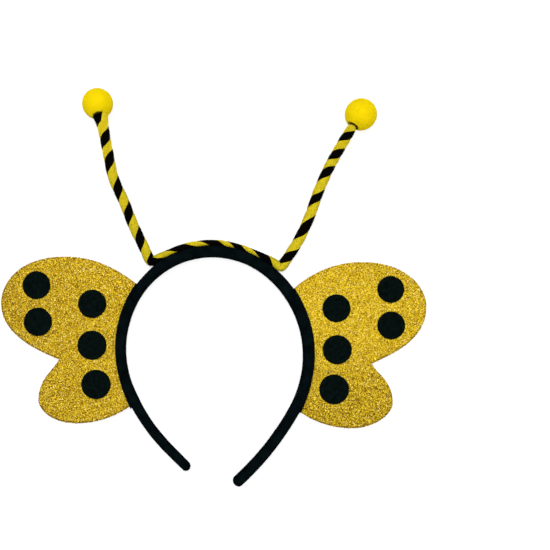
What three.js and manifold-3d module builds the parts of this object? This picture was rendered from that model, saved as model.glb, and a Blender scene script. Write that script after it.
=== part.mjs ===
// Costume headband with wings and antennae, lying on its side. Millimetres, +Z up off the surface
// it lies on, +Y from the open ends towards the antennae, +X towards the right wing, and the origin
// under the middle of its box.
import * as THREE from 'three';
import { mergeVertices } from 'three/addons/utils/BufferGeometryUtils.js';
import Module from 'manifold-3d';

const wasm = await Module();
wasm.setup();
const rad = THREE.MathUtils.degToRad;

// Driving dimensions
const GAP = 0.2;

// Hoop: a padded strip on edge, thick across the head and wide along the floor's normal. Its line lies
// inner millimetres out from its inner face. The padding thins towards the tips, the left one most.
const HOOP = { thick: 8.2, inner: 3.2, wide: 10, corner: 2.2, tip: 3.4, stepDegrees: 5 };
const TIP_THICK = { left: 6.5, right: 8 };
// Each tip is half a ball's profile, with a ring at each of these angles from its pole inward.
const TIP_STOPS = [78, 55, 30];
const CROWN = { x: -4.9, y: 23.8, lean: 3.6 };
// Tangent arcs of the line from the crown down each limb. The last one ends at the limb's rounded tip.
const LIMB_ARCS = {
  left: [
    { radius: 61.8, sweep: 50.9 },
    { radius: 71.9, sweep: 58.8 },
    { radius: 134, sweep: 21.1 },
    { radius: 1000, sweep: 1.2 },
  ],
  right: [
    { radius: 61.8, sweep: 41.9 },
    { radius: 75, sweep: 80.3 },
    { radius: 195, sweep: 20.2 },
  ],
};

// Felt strip glued between the hoop's outer face and each wing's root, reaching a little past the root.
const STRIP = { thick: 1, wide: 8.4, past: 1, step: 5 };

// Wings: bent foam sheet. The outline's nodes are measured from the seat, out from the hoop and up
// towards the crown. Headings are in degrees from straight out, and each reach is the length of the
// curve's handle. The sheet's grid has a number of cells each way, and its outline steps for each curve.
const WING = { thick: 2, seatHeight: 5.6, tipDrop: 2.4, lobeDrop: 1.5, span: 83, halfHeight: 60 };
const WING_GRID = { cells: 7, margin: 4, outlineSteps: 11 };
const WING_SEATS = {
  left: { x: -66.3, y: -35.9, turn: 0, topRoot: 53.3, bottomRoot: 138.8 },
  right: { x: 67.1, y: -40.8, turn: 2.1, topRoot: 66, bottomRoot: 151.4 },
};
const WING_ROOT = { topHeading: 40.4, topReach: 14.9, bottomHeading: 145, bottomReach: 3 };
const WING_NODES = [
  { name: 'top', out: 36.9, up: 57.2, arrive: 0, leave: 0, reachIn: 20.8, reachOut: 32.7 },
  { name: 'outermost', out: 83, up: 24.4, arrive: -90, leave: -90, reachIn: 14.8, reachOut: 25.9 },
  { name: 'notch', out: 42.7, up: -14.8, arrive: -153, leave: -62, reachIn: 6.5, reachOut: 9 },
  { name: 'lower outermost', out: 57.1, up: -42.3, arrive: -90, leave: -90, reachIn: 14.2, reachOut: 8.1 },
  { name: 'bottom', out: 29.3, up: -59.5, arrive: 180, leave: 180, reachIn: 16.1, reachOut: 22 },
];

// Felt spots glued by hand on each wing's face.
const SPOT = { thick: 1, sides: 24 };
const SPOTS = {
  left: [
    { x: -124, y: 1.2, across: 19.4 },
    { x: -84.8, y: -11.8, across: 19.6 },
    { x: -122.9, y: -24.4, across: 19.8 },
    { x: -84.9, y: -40.7, across: 20.2 },
    { x: -82.2, y: -68.1, across: 20.4 },
  ],
  right: [
    { x: 123.9, y: -1.7, across: 18.7 },
    { x: 85.7, y: -14.9, across: 19.4 },
    { x: 124.1, y: -26.9, across: 19.4 },
    { x: 86.2, y: -43.8, across: 20.2 },
    { x: 84.1, y: -71.6, across: 20.7 },
  ],
};

// Antennae: one rope of two tufted wires twisted together, right-handed, and pressed flat where it is
// glued along the hoop.
const ROPE = { half: 3.7, flatHalf: 2, broadHalf: 4, stationsPerTurn: 10, arcSteps: 5, lengthSteps: 1200 };
const STRAND_HALF_ANGLE = { black: 83.5, yellow: 91 };
const ROPE_ON_HOOP = { from: -33, to: 46, step: 4 };
const BEND = { radius: 4.8, steps: 6 };
const LEFT_CORNER = { x: -44.5, y: 17, z: 5 };
const RIGHT_CORNER = { x: 48.9, y: 12.5, z: 5 };
const FLAT_FROM = { start: -44, full: -12 };
const FLAT_TO = { full: 22, end: 48 };
const LEFT_STEM = [
  { x: -78.6, y: 120.4, z: 13.4 },
  { x: -76.9, y: 112.6, z: 12.8 },
  { x: -73.1, y: 92.2, z: 11 },
  { x: -69.6, y: 75.7, z: 9.5 },
  { x: -62.3, y: 59, z: 8 },
  { x: -55.8, y: 42.3, z: 6.6 },
  { x: -49.2, y: 28.6, z: 5.5 },
];
const RIGHT_STEM = [
  { x: 52.9, y: 22.1, z: 5.2 },
  { x: 59.4, y: 32.7, z: 6 },
  { x: 67, y: 49.3, z: 7 },
  { x: 72.8, y: 66, z: 8.2 },
  { x: 79.8, y: 82.3, z: 9.4 },
  { x: 86.8, y: 95.2, z: 11.2 },
  { x: 94.3, y: 107.4, z: 13.5 },
  { x: 97.7, y: 112.7, z: 14.5 },
];
// Where the black strand comes uppermost: the turn's number and the distance along the rope.
const TWIST = [
  { turn: 0.2, at: 0 },
  { turn: 0.28, at: 4.3 },
  { turn: 0.5, at: 9.8 },
  { turn: 2, at: 33.2 },
  { turn: 5, at: 92 },
  { turn: 6, at: 109 },
  { turn: 8, at: 155 },
  { turn: 9, at: 171.6 },
  { turn: 13, at: 257.9 },
  { turn: 14, at: 276.9 },
  { turn: 16, at: 305.4 },
  { turn: 16.5, at: 313.8 },
];

// Pompoms: a ball of tufts on a core, with a socket for the rope's end.
// Its core, and each tuft's foot and half width, are shares of the ball's radius.
const POMPOM = { core: 0.87, coreDetail: 2, tufts: 40, tuftSides: 5, tuftBase: 0.62, tuftWide: 0.5 };
const SOCKET = { sides: 12 };
const POMPOMS = {
  left: { x: -80.2, y: 127.2, across: 21 },
  right: { x: 102.2, y: 119.6, across: 21.8 },
};

// Materials
const felt = new THREE.MeshStandardMaterial({ color: 0x17181a, roughness: 0.95, metalness: 0 });
const velvet = new THREE.MeshStandardMaterial({ color: 0x0e1012, roughness: 0.85, metalness: 0 });
const glitterFoam = new THREE.MeshStandardMaterial({ color: 0xc9a227, roughness: 0.4, metalness: 0.6 });
const blackChenille = new THREE.MeshStandardMaterial({ color: 0x121212, roughness: 1, metalness: 0 });
const yellowChenille = new THREE.MeshStandardMaterial({ color: 0xf2c90a, roughness: 1, metalness: 0 });
const pompomWool = new THREE.MeshStandardMaterial({ color: 0xf7d500, roughness: 1, metalness: 0 });

// Solids from three.js geometry, for the pieces that are joined or cut
const WELD = 1e-4;

function toSolid(geometry) {
  const bare = geometry.clone();
  bare.deleteAttribute('normal');
  bare.deleteAttribute('uv');
  const merged = mergeVertices(bare, WELD);
  return new wasm.Manifold(new wasm.Mesh({
    numProp: 3,
    vertProperties: new Float32Array(merged.attributes.position.array),
    triVerts: new Uint32Array(merged.index.array),
  }));
}

function toGeometry(solid) {
  const mesh = solid.getMesh();
  const geometry = new THREE.BufferGeometry();
  geometry.setAttribute('position', new THREE.BufferAttribute(new Float32Array(mesh.vertProperties), 3));
  geometry.setIndex(new THREE.BufferAttribute(new Uint32Array(mesh.triVerts), 1));
  geometry.computeVertexNormals();
  return geometry;
}

// Closed skin over rings of points that run counter-clockwise about the way they follow.
// Backward turns each quad's diagonal the other way, so that two twisted neighbours stay parallel.
function loft(rings, backward = false) {
  const count = rings[0].length;
  const last = (rings.length - 1) * count;
  const index = [];
  for (let ring = 0; ring < rings.length - 1; ring += 1) {
    for (let side = 0; side < count; side += 1) {
      const a = ring * count + side;
      const b = ring * count + (side + 1) % count;
      const c = b + count;
      const d = a + count;
      index.push(...(backward ? [a, b, d, b, c, d] : [a, b, c, a, c, d]));
    }
  }
  for (let side = 1; side < count - 1; side += 1) {
    index.push(0, side + 1, side);
    index.push(last, last + side, last + side + 1);
  }
  const geometry = new THREE.BufferGeometry().setFromPoints(rings.flat());
  geometry.setIndex(index);
  geometry.computeVertexNormals();
  return geometry;
}

function roundedSection(width, height, corner) {
  const x = width / 2 - corner;
  const y = height / 2 - corner;
  const shape = new THREE.Shape();
  shape.absarc(x, y, corner, 0, Math.PI / 2);
  shape.absarc(-x, y, corner, Math.PI / 2, Math.PI);
  shape.absarc(-x, -y, corner, Math.PI, 1.5 * Math.PI);
  shape.absarc(x, -y, corner, 1.5 * Math.PI, 2 * Math.PI);
  return shape.getPoints(1);
}

// The hoop's line: a signed distance from the crown, below zero on the left limb, gives a point and the
// way outward from it
function hoopAt(distance) {
  const left = distance < 0;
  const arcs = LIMB_ARCS[left ? 'left' : 'right'];
  const bendSign = left ? 1 : -1;
  const point = new THREE.Vector2(CROWN.x, CROWN.y);
  let heading = rad(CROWN.lean) + (left ? Math.PI : 0);
  let remaining = Math.abs(distance);
  for (const { radius, sweep } of arcs) {
    const bend = Math.min(remaining / radius, rad(sweep));
    const chord = 2 * radius * Math.sin(bend / 2);
    const chordHeading = heading + bendSign * bend / 2;
    point.x += chord * Math.cos(chordHeading);
    point.y += chord * Math.sin(chordHeading);
    heading += bendSign * bend;
    remaining -= bend * radius;
  }
  const along = heading - (left ? Math.PI : 0);
  const out = new THREE.Vector2(-Math.sin(along), Math.cos(along));
  return { point, out };
}

function limbLength(side) {
  return LIMB_ARCS[side].reduce((sum, { radius, sweep }) => sum + radius * rad(sweep), 0);
}

function thickAt(distance) {
  const side = distance < 0 ? 'left' : 'right';
  return THREE.MathUtils.lerp(HOOP.thick, TIP_THICK[side], Math.abs(distance) / limbLength(side));
}

// Places beside the hoop are measured outward from its outer face
function besideHoop(distance, offset) {
  const { point, out } = hoopAt(distance);
  return point.addScaledVector(out, thickAt(distance) - HOOP.inner + offset);
}

// A ring of section points set across the hoop's line: section x runs outward, section y runs up
function ringOnHoop(distance, section, offset, scale = 1) {
  return section.map(({ x, y }) => {
    const flat = besideHoop(distance, offset + x * scale);
    return new THREE.Vector3(flat.x, flat.y, HOOP.wide / 2 + y * scale);
  });
}

function makeHoop() {
  const rings = [];
  const addRing = (distance, scale) => {
    const thick = thickAt(distance);
    const section = roundedSection(thick, HOOP.wide, HOOP.corner);
    rings.push(ringOnHoop(distance, section, -thick / 2, scale));
  };
  const start = HOOP.tip - limbLength('left');
  const end = limbLength('right') - HOOP.tip;
  for (const stop of TIP_STOPS) {
    addRing(start - HOOP.tip * Math.sin(rad(stop)), Math.cos(rad(stop)));
  }
  const stops = new Set([start, end]);
  for (const side of ['left', 'right']) {
    let passed = 0;
    for (const { radius, sweep } of LIMB_ARCS[side]) {
      const steps = Math.ceil(sweep / HOOP.stepDegrees);
      for (let step = 0; step < steps; step += 1) {
        const distance = passed + radius * rad(sweep) * step / steps;
        stops.add(side === 'left' ? -distance : distance);
      }
      passed += radius * rad(sweep);
    }
  }
  const inOrder = [...stops].filter((at) => at >= start && at <= end).sort((a, b) => a - b);
  for (const at of inOrder) {
    addRing(at, 1);
  }
  for (const stop of TIP_STOPS.toReversed()) {
    addRing(end + HOOP.tip * Math.sin(rad(stop)), Math.cos(rad(stop)));
  }
  return loft(rings);
}

function makeStrip(side) {
  const { topRoot, bottomRoot } = WING_SEATS[side];
  const sign = side === 'left' ? -1 : 1;
  const ends = [sign * (topRoot - STRIP.past), sign * (bottomRoot + STRIP.past)].sort((a, b) => a - b);
  const offset = GAP + STRIP.thick / 2;
  const section = [[1, -1], [1, 1], [-1, 1], [-1, -1]].map(
    ([x, y]) => new THREE.Vector2(x * STRIP.thick / 2, y * STRIP.wide / 2),
  );
  const steps = Math.ceil((ends[1] - ends[0]) / STRIP.step);
  const rings = [];
  for (let step = 0; step <= steps; step += 1) {
    rings.push(ringOnHoop(THREE.MathUtils.lerp(...ends, step / steps), section, offset));
  }
  return loft(rings);
}

// A wing's own directions: out and up from its seat, mirrored for the left wing
function wingPoint(side, out, up) {
  const { x, y, turn } = WING_SEATS[side];
  const sign = side === 'left' ? -1 : 1;
  const turned = new THREE.Vector2(out, up).rotateAround(new THREE.Vector2(), rad(turn));
  return new THREE.Vector2(x + sign * turned.x, y + turned.y);
}

function wingHeading(side, degrees) {
  const angle = rad(degrees + WING_SEATS[side].turn);
  return new THREE.Vector2((side === 'left' ? -1 : 1) * Math.cos(angle), Math.sin(angle));
}

// Height of the wing sheet's middle: it droops towards its tip and towards the ends of its lobes
function wingHeight(side, x, y) {
  const seat = WING_SEATS[side];
  const sign = side === 'left' ? -1 : 1;
  const out = Math.max(sign * (x - seat.x), 0) / WING.span;
  const up = (y - seat.y) / WING.halfHeight;
  return WING.seatHeight - WING.tipDrop * out ** 2 - WING.lobeDrop * up ** 2;
}

function wingOutline(side) {
  const seat = WING_SEATS[side];
  const sign = side === 'left' ? -1 : 1;
  const rootOffset = STRIP.thick + 2 * GAP;
  const root = (distance) => besideHoop(sign * distance, rootOffset);
  const nodes = [
    { at: root(seat.topRoot), leave: WING_ROOT.topHeading, reachOut: WING_ROOT.topReach },
    ...WING_NODES.map((node) => ({ ...node, at: wingPoint(side, node.out, node.up) })),
    { at: root(seat.bottomRoot), arrive: WING_ROOT.bottomHeading, reachIn: WING_ROOT.bottomReach },
  ];
  const shape = new THREE.Shape();
  shape.moveTo(nodes[0].at.x, nodes[0].at.y);
  for (let i = 1; i < nodes.length; i += 1) {
    const from = nodes[i - 1];
    const to = nodes[i];
    const first = from.at.clone().addScaledVector(wingHeading(side, from.leave), from.reachOut);
    const second = to.at.clone().addScaledVector(wingHeading(side, to.arrive), -to.reachIn);
    shape.bezierCurveTo(first.x, first.y, second.x, second.y, to.at.x, to.at.y);
  }
  const steps = Math.ceil((seat.bottomRoot - seat.topRoot) / STRIP.step);
  for (let step = steps - 1; step > 0; step -= 1) {
    const point = root(THREE.MathUtils.lerp(seat.topRoot, seat.bottomRoot, step / steps));
    shape.lineTo(point.x, point.y);
  }
  return shape;
}

function makeWing(side) {
  const { cells, margin, outlineSteps } = WING_GRID;
  const prism = new THREE.ExtrudeGeometry(wingOutline(side), {
    depth: HOOP.wide,
    bevelEnabled: false,
    curveSegments: outlineSteps,
  });
  prism.computeBoundingBox();
  const size = prism.boundingBox.getSize(new THREE.Vector3());
  const centre = prism.boundingBox.getCenter(new THREE.Vector3());
  const sheet = new THREE.BoxGeometry(size.x + margin, size.y + margin, WING.thick, cells, cells, 1);
  sheet.translate(centre.x, centre.y, 0);
  const places = sheet.attributes.position;
  for (let i = 0; i < places.count; i += 1) {
    places.setZ(i, places.getZ(i) + wingHeight(side, places.getX(i), places.getY(i)));
  }
  return toGeometry(toSolid(sheet).intersect(toSolid(prism)));
}

function makeSpot(side, { x, y, across }) {
  const reach = across / 2;
  const rise = (dx, dy) => wingHeight(side, x + dx, y + dy) - wingHeight(side, x - dx, y - dy);
  const normal = new THREE.Vector3(-rise(reach, 0), -rise(0, reach), across).normalize();
  const spot = new THREE.Mesh(new THREE.CylinderGeometry(reach, reach, SPOT.thick, SPOT.sides), felt);
  spot.quaternion.setFromUnitVectors(new THREE.Vector3(0, 1, 0), normal);
  const lift = WING.thick / 2 + GAP + SPOT.thick / 2;
  spot.position.set(x, y, wingHeight(side, x, y)).addScaledVector(normal, lift);
  return spot;
}

// How far the rope is pressed flat, from 0 on the free antennae to 1 along the middle of the hoop
function flatness(x) {
  const { smoothstep } = THREE.MathUtils;
  return smoothstep(x, FLAT_FROM.start, FLAT_FROM.full) * (1 - smoothstep(x, FLAT_TO.full, FLAT_TO.end));
}

// Points on the arc that rounds the corner between two straight runs
function bendPoints(before, corner, after) {
  const back = before.clone().sub(corner).normalize();
  const on = after.clone().sub(corner).normalize();
  const opening = back.angleTo(on);
  const turn = Math.PI - opening;
  const run = BEND.radius / Math.tan(opening / 2);
  const bisector = back.clone().add(on).normalize();
  const centre = corner.clone().addScaledVector(bisector, BEND.radius / Math.sin(opening / 2));
  const first = corner.clone().addScaledVector(back, run).sub(centre);
  const last = corner.clone().addScaledVector(on, run).sub(centre);
  return Array.from({ length: BEND.steps + 1 }, (_, step) => {
    const share = step / BEND.steps;
    return centre.clone()
      .addScaledVector(first, Math.sin((1 - share) * turn) / Math.sin(turn))
      .addScaledVector(last, Math.sin(share * turn) / Math.sin(turn));
  });
}

function ropeCurve() {
  const place = ({ x, y, z }) => new THREE.Vector3(x, y, z);
  const left = LEFT_STEM.map(place);
  const right = RIGHT_STEM.map(place);
  const onHoop = [];
  const steps = Math.ceil((ROPE_ON_HOOP.to - ROPE_ON_HOOP.from) / ROPE_ON_HOOP.step);
  for (let step = 0; step <= steps; step += 1) {
    const distance = THREE.MathUtils.lerp(ROPE_ON_HOOP.from, ROPE_ON_HOOP.to, step / steps);
    const pressed = flatness(besideHoop(distance, ROPE.half).x);
    const half = THREE.MathUtils.lerp(ROPE.half, ROPE.flatHalf, pressed);
    const { x, y } = besideHoop(distance, GAP + half);
    onHoop.push(new THREE.Vector3(x, y, HOOP.wide / 2));
  }
  const curve = new THREE.CatmullRomCurve3([
    ...left,
    ...bendPoints(left.at(-1), place(LEFT_CORNER), onHoop[0]),
    ...onHoop.slice(1, -1),
    ...bendPoints(onHoop.at(-1), place(RIGHT_CORNER), right[0]),
    ...right,
  ], false, 'centripetal');
  curve.arcLengthDivisions = ROPE.lengthSteps;
  return curve;
}

function turnsAt(distance) {
  let row = 0;
  while (row < TWIST.length - 2 && distance > TWIST[row + 1].at) {
    row += 1;
  }
  const from = TWIST[row];
  const to = TWIST[row + 1];
  return from.turn + (to.turn - from.turn) * (distance - from.at) / (to.at - from.at);
}

function ropeFrame(curve, share) {
  const centre = curve.getPointAt(share);
  const along = curve.getTangentAt(share);
  const side = new THREE.Vector3(0, 0, 1).cross(along).normalize();
  const up = along.clone().cross(side);
  return { centre, along, side, up };
}

// One strand: most of a half-round section that turns with the twist, and its flat inner side
function makeStrand(colour, curve) {
  const length = curve.getLength();
  const halfAngle = rad(STRAND_HALF_ANGLE[colour]);
  const facing = colour === 'black' ? Math.PI / 2 : -Math.PI / 2;
  const stations = Math.round((turnsAt(length) - turnsAt(0)) * ROPE.stationsPerTurn);
  const rings = [];
  for (let station = 0; station <= stations; station += 1) {
    const share = station / stations;
    const { centre, side, up } = ropeFrame(curve, share);
    const flat = flatness(centre.x);
    const reachSide = THREE.MathUtils.lerp(ROPE.half, ROPE.flatHalf, flat);
    const reachUp = THREE.MathUtils.lerp(ROPE.half, ROPE.broadHalf, flat);
    const middle = facing + 2 * Math.PI * turnsAt(share * length);
    const angles = [];
    for (let step = 0; step <= ROPE.arcSteps; step += 1) {
      angles.push({ at: middle + halfAngle * (2 * step / ROPE.arcSteps - 1), reach: 1 });
    }
    angles.push({ at: middle, reach: Math.cos(halfAngle) });
    rings.push(angles.map(({ at, reach }) => centre.clone()
      .addScaledVector(side, reachSide * reach * Math.cos(at))
      .addScaledVector(up, reachUp * reach * Math.sin(at))));
  }
  return loft(rings, colour === 'yellow');
}

// Evenly spread directions over a ball, on a golden-angle spiral
function ballDirections(count) {
  const golden = Math.PI * (3 - Math.sqrt(5));
  return Array.from({ length: count }, (_, i) => {
    const height = 1 - (2 * i + 1) / count;
    const ring = Math.sqrt(1 - height ** 2);
    return new THREE.Vector3(ring * Math.cos(golden * i), ring * Math.sin(golden * i), height);
  });
}

function makePompom(side, curve) {
  const { x, y, across } = POMPOMS[side];
  const radius = across / 2;
  const upY = new THREE.Vector3(0, 1, 0);
  let ball = toSolid(new THREE.IcosahedronGeometry(radius * POMPOM.core, POMPOM.coreDetail));
  for (const direction of ballDirections(POMPOM.tufts)) {
    const height = radius * (1 - POMPOM.tuftBase);
    const tuft = new THREE.ConeGeometry(radius * POMPOM.tuftWide, height, POMPOM.tuftSides);
    tuft.applyQuaternion(new THREE.Quaternion().setFromUnitVectors(upY, direction));
    tuft.translate(...direction.clone().multiplyScalar(radius - height / 2));
    ball = ball.add(toSolid(tuft));
  }
  const ropeEnd = ropeFrame(curve, side === 'left' ? 0 : 1);
  const outward = ropeEnd.along.clone().multiplyScalar(side === 'left' ? -1 : 1);
  const socketRadius = (ROPE.half + GAP) / Math.cos(Math.PI / SOCKET.sides);
  const socket = new THREE.CylinderGeometry(socketRadius, socketRadius, across, SOCKET.sides);
  socket.applyQuaternion(new THREE.Quaternion().setFromUnitVectors(upY, outward));
  const middle = ropeEnd.centre.clone().addScaledVector(outward, GAP - across / 2);
  socket.translate(middle.x - x, middle.y - y, middle.z - radius);
  const geometry = toGeometry(ball.subtract(toSolid(socket)));
  return geometry.translate(x, y, radius);
}

function named(name, object, material) {
  const mesh = object.isMesh ? object : new THREE.Mesh(object, material);
  mesh.name = name;
  return mesh;
}

// Assembly
const headband = new THREE.Group();
const rope = ropeCurve();
headband.add(named('hoop', makeHoop(), velvet));
for (const side of ['left', 'right']) {
  headband.add(named(`strip_${side}`, makeStrip(side), felt));
  headband.add(named(`wing_${side}`, makeWing(side), glitterFoam));
  SPOTS[side].forEach((row, i) => headband.add(named(`spot_${side}_${i + 1}`, makeSpot(side, row))));
  headband.add(named(`pompom_${side}`, makePompom(side, rope), pompomWool));
}
headband.add(named('stem_black', makeStrand('black', rope), blackChenille));
headband.add(named('stem_yellow', makeStrand('yellow', rope), yellowChenille));

export default headband;
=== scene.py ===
"""Looks of a costume headband with wings and antennae, built round its solid frame.

The headband lies on its side. +Z is up off the floor, +Y runs from the hoop's open ends towards the
antennae, and +X towards the right wing. Sizes in this file are millimetres, and meshes are metres.
"""

import logging
import math
from collections.abc import Callable, Iterator
from contextlib import contextmanager
from dataclasses import dataclass
from enum import Enum

import bmesh
import bpy
import numpy as np
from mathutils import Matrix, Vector, noise


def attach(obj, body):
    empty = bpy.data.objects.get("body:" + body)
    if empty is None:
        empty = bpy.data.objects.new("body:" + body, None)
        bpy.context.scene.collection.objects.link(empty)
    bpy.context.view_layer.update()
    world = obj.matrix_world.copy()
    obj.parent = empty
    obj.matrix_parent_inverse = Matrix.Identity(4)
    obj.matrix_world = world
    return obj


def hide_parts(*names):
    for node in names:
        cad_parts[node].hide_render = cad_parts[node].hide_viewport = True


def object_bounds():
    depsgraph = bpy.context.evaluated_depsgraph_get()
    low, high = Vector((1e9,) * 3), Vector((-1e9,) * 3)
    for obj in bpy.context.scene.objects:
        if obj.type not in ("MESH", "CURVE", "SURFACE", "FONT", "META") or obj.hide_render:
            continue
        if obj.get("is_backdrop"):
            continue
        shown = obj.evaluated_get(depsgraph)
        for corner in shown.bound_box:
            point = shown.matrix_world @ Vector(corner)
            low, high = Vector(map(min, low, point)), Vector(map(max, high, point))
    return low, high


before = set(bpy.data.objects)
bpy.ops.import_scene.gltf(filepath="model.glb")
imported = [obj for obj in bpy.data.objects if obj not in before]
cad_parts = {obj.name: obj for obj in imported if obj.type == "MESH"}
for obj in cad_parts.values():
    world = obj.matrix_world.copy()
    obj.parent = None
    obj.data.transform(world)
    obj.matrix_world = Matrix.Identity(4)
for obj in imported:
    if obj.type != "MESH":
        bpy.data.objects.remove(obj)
cad_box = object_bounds()

log = logging.getLogger("headband")

MM = 0.001
BODY = "root"

# Amounts below this count as nothing.
TINY = 1e-9
# Vertices of one mesh that lie closer than this, in millimetres, are merged.
WELD = 0.001
# A direction with more Z than this counts as upright.
UPRIGHT = 0.9

RIGHT = np.array([1.0, 0.0, 0.0])
UP = np.array([0.0, 0.0, 1.0])

Colour = tuple[float, float, float]
Place = tuple[float, float, float]
Stops = tuple[tuple[float, Colour], ...]
Table = tuple[tuple[float, float], ...]


class Side(Enum):
    """The two halves of the headband, with the sign of X on each."""

    LEFT = -1
    RIGHT = 1

    @property
    def label(self) -> str:
        """The word that ends this side's piece names."""
        return self.name.lower()


class Strand(Enum):
    """The rope's two tufted wires, with the way each faces where the count of turns is whole."""

    BLACK = 1
    YELLOW = -1

    @property
    def label(self) -> str:
        """The word that ends this strand's piece name."""
        return self.name.lower()


# Working with meshes


def deselect() -> None:
    """Deselect every object, because operators act on all that is selected."""
    bpy.ops.object.select_all(action="DESELECT")


def activate(obj: bpy.types.Object) -> None:
    """Make one object the only selected one, and the active one."""
    deselect()
    obj.select_set(True)
    bpy.context.view_layer.objects.active = obj


@contextmanager
def editing(obj: bpy.types.Object) -> Iterator[None]:
    """Open a mesh in edit mode with all of it selected, and close it again.

    Args:
        obj: The mesh object to edit.
    """
    activate(obj)
    bpy.ops.object.mode_set(mode="EDIT")
    bpy.ops.mesh.select_all(action="SELECT")
    yield
    bpy.ops.object.mode_set(mode="OBJECT")


def pick_faces(obj: bpy.types.Object, test: Callable[[bmesh.types.BMFace], bool]) -> None:
    """Select only the faces that pass a test, on a mesh that is in edit mode.

    Args:
        obj: The mesh object in edit mode.
        test: Says of each face whether it is selected.
    """
    bpy.ops.mesh.select_all(action="DESELECT")
    shape = bmesh.from_edit_mesh(obj.data)
    for face in [face for face in shape.faces if test(face)]:
        face.select_set(True)
    bmesh.update_edit_mesh(obj.data)


def put_in_order(obj: bpy.types.Object) -> None:
    """Number a mesh's parts by how far off they lie, since extruding leaves them in any order."""
    with editing(obj):
        bpy.ops.mesh.sort_elements(type="CURSOR_DISTANCE", elements={"VERT", "EDGE", "FACE"})


def named(name: str) -> bpy.types.Object:
    """Give the newest primitive and its mesh a plain name.

    Args:
        name: The piece's name.

    Returns:
        The renamed object.
    """
    obj = bpy.context.object
    obj.name = name
    obj.data.name = name
    return obj


def apply_place(obj: bpy.types.Object) -> None:
    """Move an object's place, turn and scale into its mesh."""
    activate(obj)
    bpy.ops.object.transform_apply(location=True, rotation=True, scale=True)


def apply_modifier(obj: bpy.types.Object, kind: str, **settings: object) -> None:
    """Add a modifier, set it and apply it.

    Args:
        obj: The mesh object.
        kind: The modifier's type, as Blender names it.
        settings: Its settings by name.
    """
    activate(obj)
    modifier = obj.modifiers.new(kind.lower(), kind)
    for name, value in settings.items():
        setattr(modifier, name, value)
    bpy.ops.object.modifier_apply(modifier=modifier.name)


def vertices_of(obj: bpy.types.Object) -> np.ndarray:
    """Read a mesh's vertices.

    Args:
        obj: The mesh object.

    Returns:
        Its vertices in millimetres, one row each.
    """
    flat = np.empty(len(obj.data.vertices) * 3)
    obj.data.vertices.foreach_get("co", flat)
    return flat.reshape(-1, 3) / MM


def set_vertices(obj: bpy.types.Object, places: np.ndarray) -> None:
    """Move a mesh's vertices.

    Args:
        obj: The mesh object.
        places: New places in millimetres, one row each.
    """
    obj.data.vertices.foreach_set("co", (places * MM).ravel())
    obj.data.update()


def lumps(places: np.ndarray, across: float, seed: float) -> np.ndarray:
    """Smooth unevenness for soft surfaces.

    Args:
        places: Points in millimetres, one row each.
        across: About how far apart the lumps lie, in millimetres.
        seed: Shifts the pattern, so that pieces differ.

    Returns:
        A value from about -1 to 1 for each point.
    """
    return np.array([noise.noise(Vector(place) / across + Vector((seed, 0, 0))) for place in places])


def smooth(values: np.ndarray, low: float, high: float) -> np.ndarray:
    """Rise smoothly from 0 at the low value to 1 at the high one."""
    share = np.clip((values - low) / (high - low), 0, 1)
    return share * share * (3 - 2 * share)


def look_up(table: Table, values: float | np.ndarray) -> float | np.ndarray:
    """Read a table's second column at values of its first, on straight lines between its rows."""
    return np.interp(values, *zip(*table))


def unit(vectors: np.ndarray) -> np.ndarray:
    """Scale each row of an array of vectors to length one."""
    return vectors / np.linalg.norm(vectors, axis=-1, keepdims=True)


def across_axes(axes: np.ndarray) -> tuple[np.ndarray, np.ndarray]:
    """Find two directions square to each axis.

    Args:
        axes: Unit vectors, one row each.

    Returns:
        Two arrays of unit vectors that make a right-handed frame with the axes.
    """
    helper = np.where(np.abs(axes[:, 2:]) > UPRIGHT, RIGHT, UP)
    first = unit(np.cross(helper, axes))
    return first, np.cross(axes, first)


def pyramids(
    feet: np.ndarray, peaks: np.ndarray, reach: float | np.ndarray, rng: np.random.Generator
) -> np.ndarray:
    """Closed three-sided pyramids, as thin fibres or flat flakes.

    Args:
        feet: Middle of each foot in millimetres, one row each.
        peaks: Point of each pyramid, one row each.
        reach: From the middle of a foot to its corners, the same for all or one each.
        rng: Turns each pyramid about its own axis.

    Returns:
        Four points for each pyramid: three corners of the foot, then the peak.
    """
    first, second = across_axes(unit(peaks - feet))
    start = rng.uniform(0, 2 * math.pi, (len(feet), 1))
    reaches = np.reshape(reach, (-1, 1))
    corners = []
    for corner in range(3):
        angle = start + corner * 2 * math.pi / 3
        corners.append(feet + reaches * (np.cos(angle) * first + np.sin(angle) * second))
    return np.stack([*corners, peaks], axis=1)


PYRAMID_FACES = np.array([(0, 2, 1), (0, 1, 3), (1, 2, 3), (2, 0, 3)])


def pyramid_piece(name: str, points: np.ndarray, tones: np.ndarray) -> bpy.types.Object:
    """Join pyramids into one mesh object.

    Args:
        name: The object's name.
        points: Four points in millimetres for each pyramid.
        tones: The number of the material slot that each pyramid takes.

    Returns:
        The new object, with no materials yet.
    """
    count, corners = points.shape[:2]
    faces = (corners * np.arange(count))[:, None, None] + PYRAMID_FACES
    mesh = bpy.data.meshes.new(name)
    mesh.from_pydata(points.reshape(-1, 3) * MM, [], faces.reshape(-1, 3))
    mesh.polygons.foreach_set("material_index", np.repeat(tones, len(PYRAMID_FACES)).astype(np.int32))
    obj = bpy.data.objects.new(name, mesh)
    bpy.context.scene.collection.objects.link(obj)
    return obj


def off_floor(peaks: np.ndarray, gap: float) -> np.ndarray:
    """Lift the points that lie lower than this gap above the floor up to it."""
    return np.column_stack([peaks[:, :2], np.maximum(peaks[:, 2], gap)])


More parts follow.
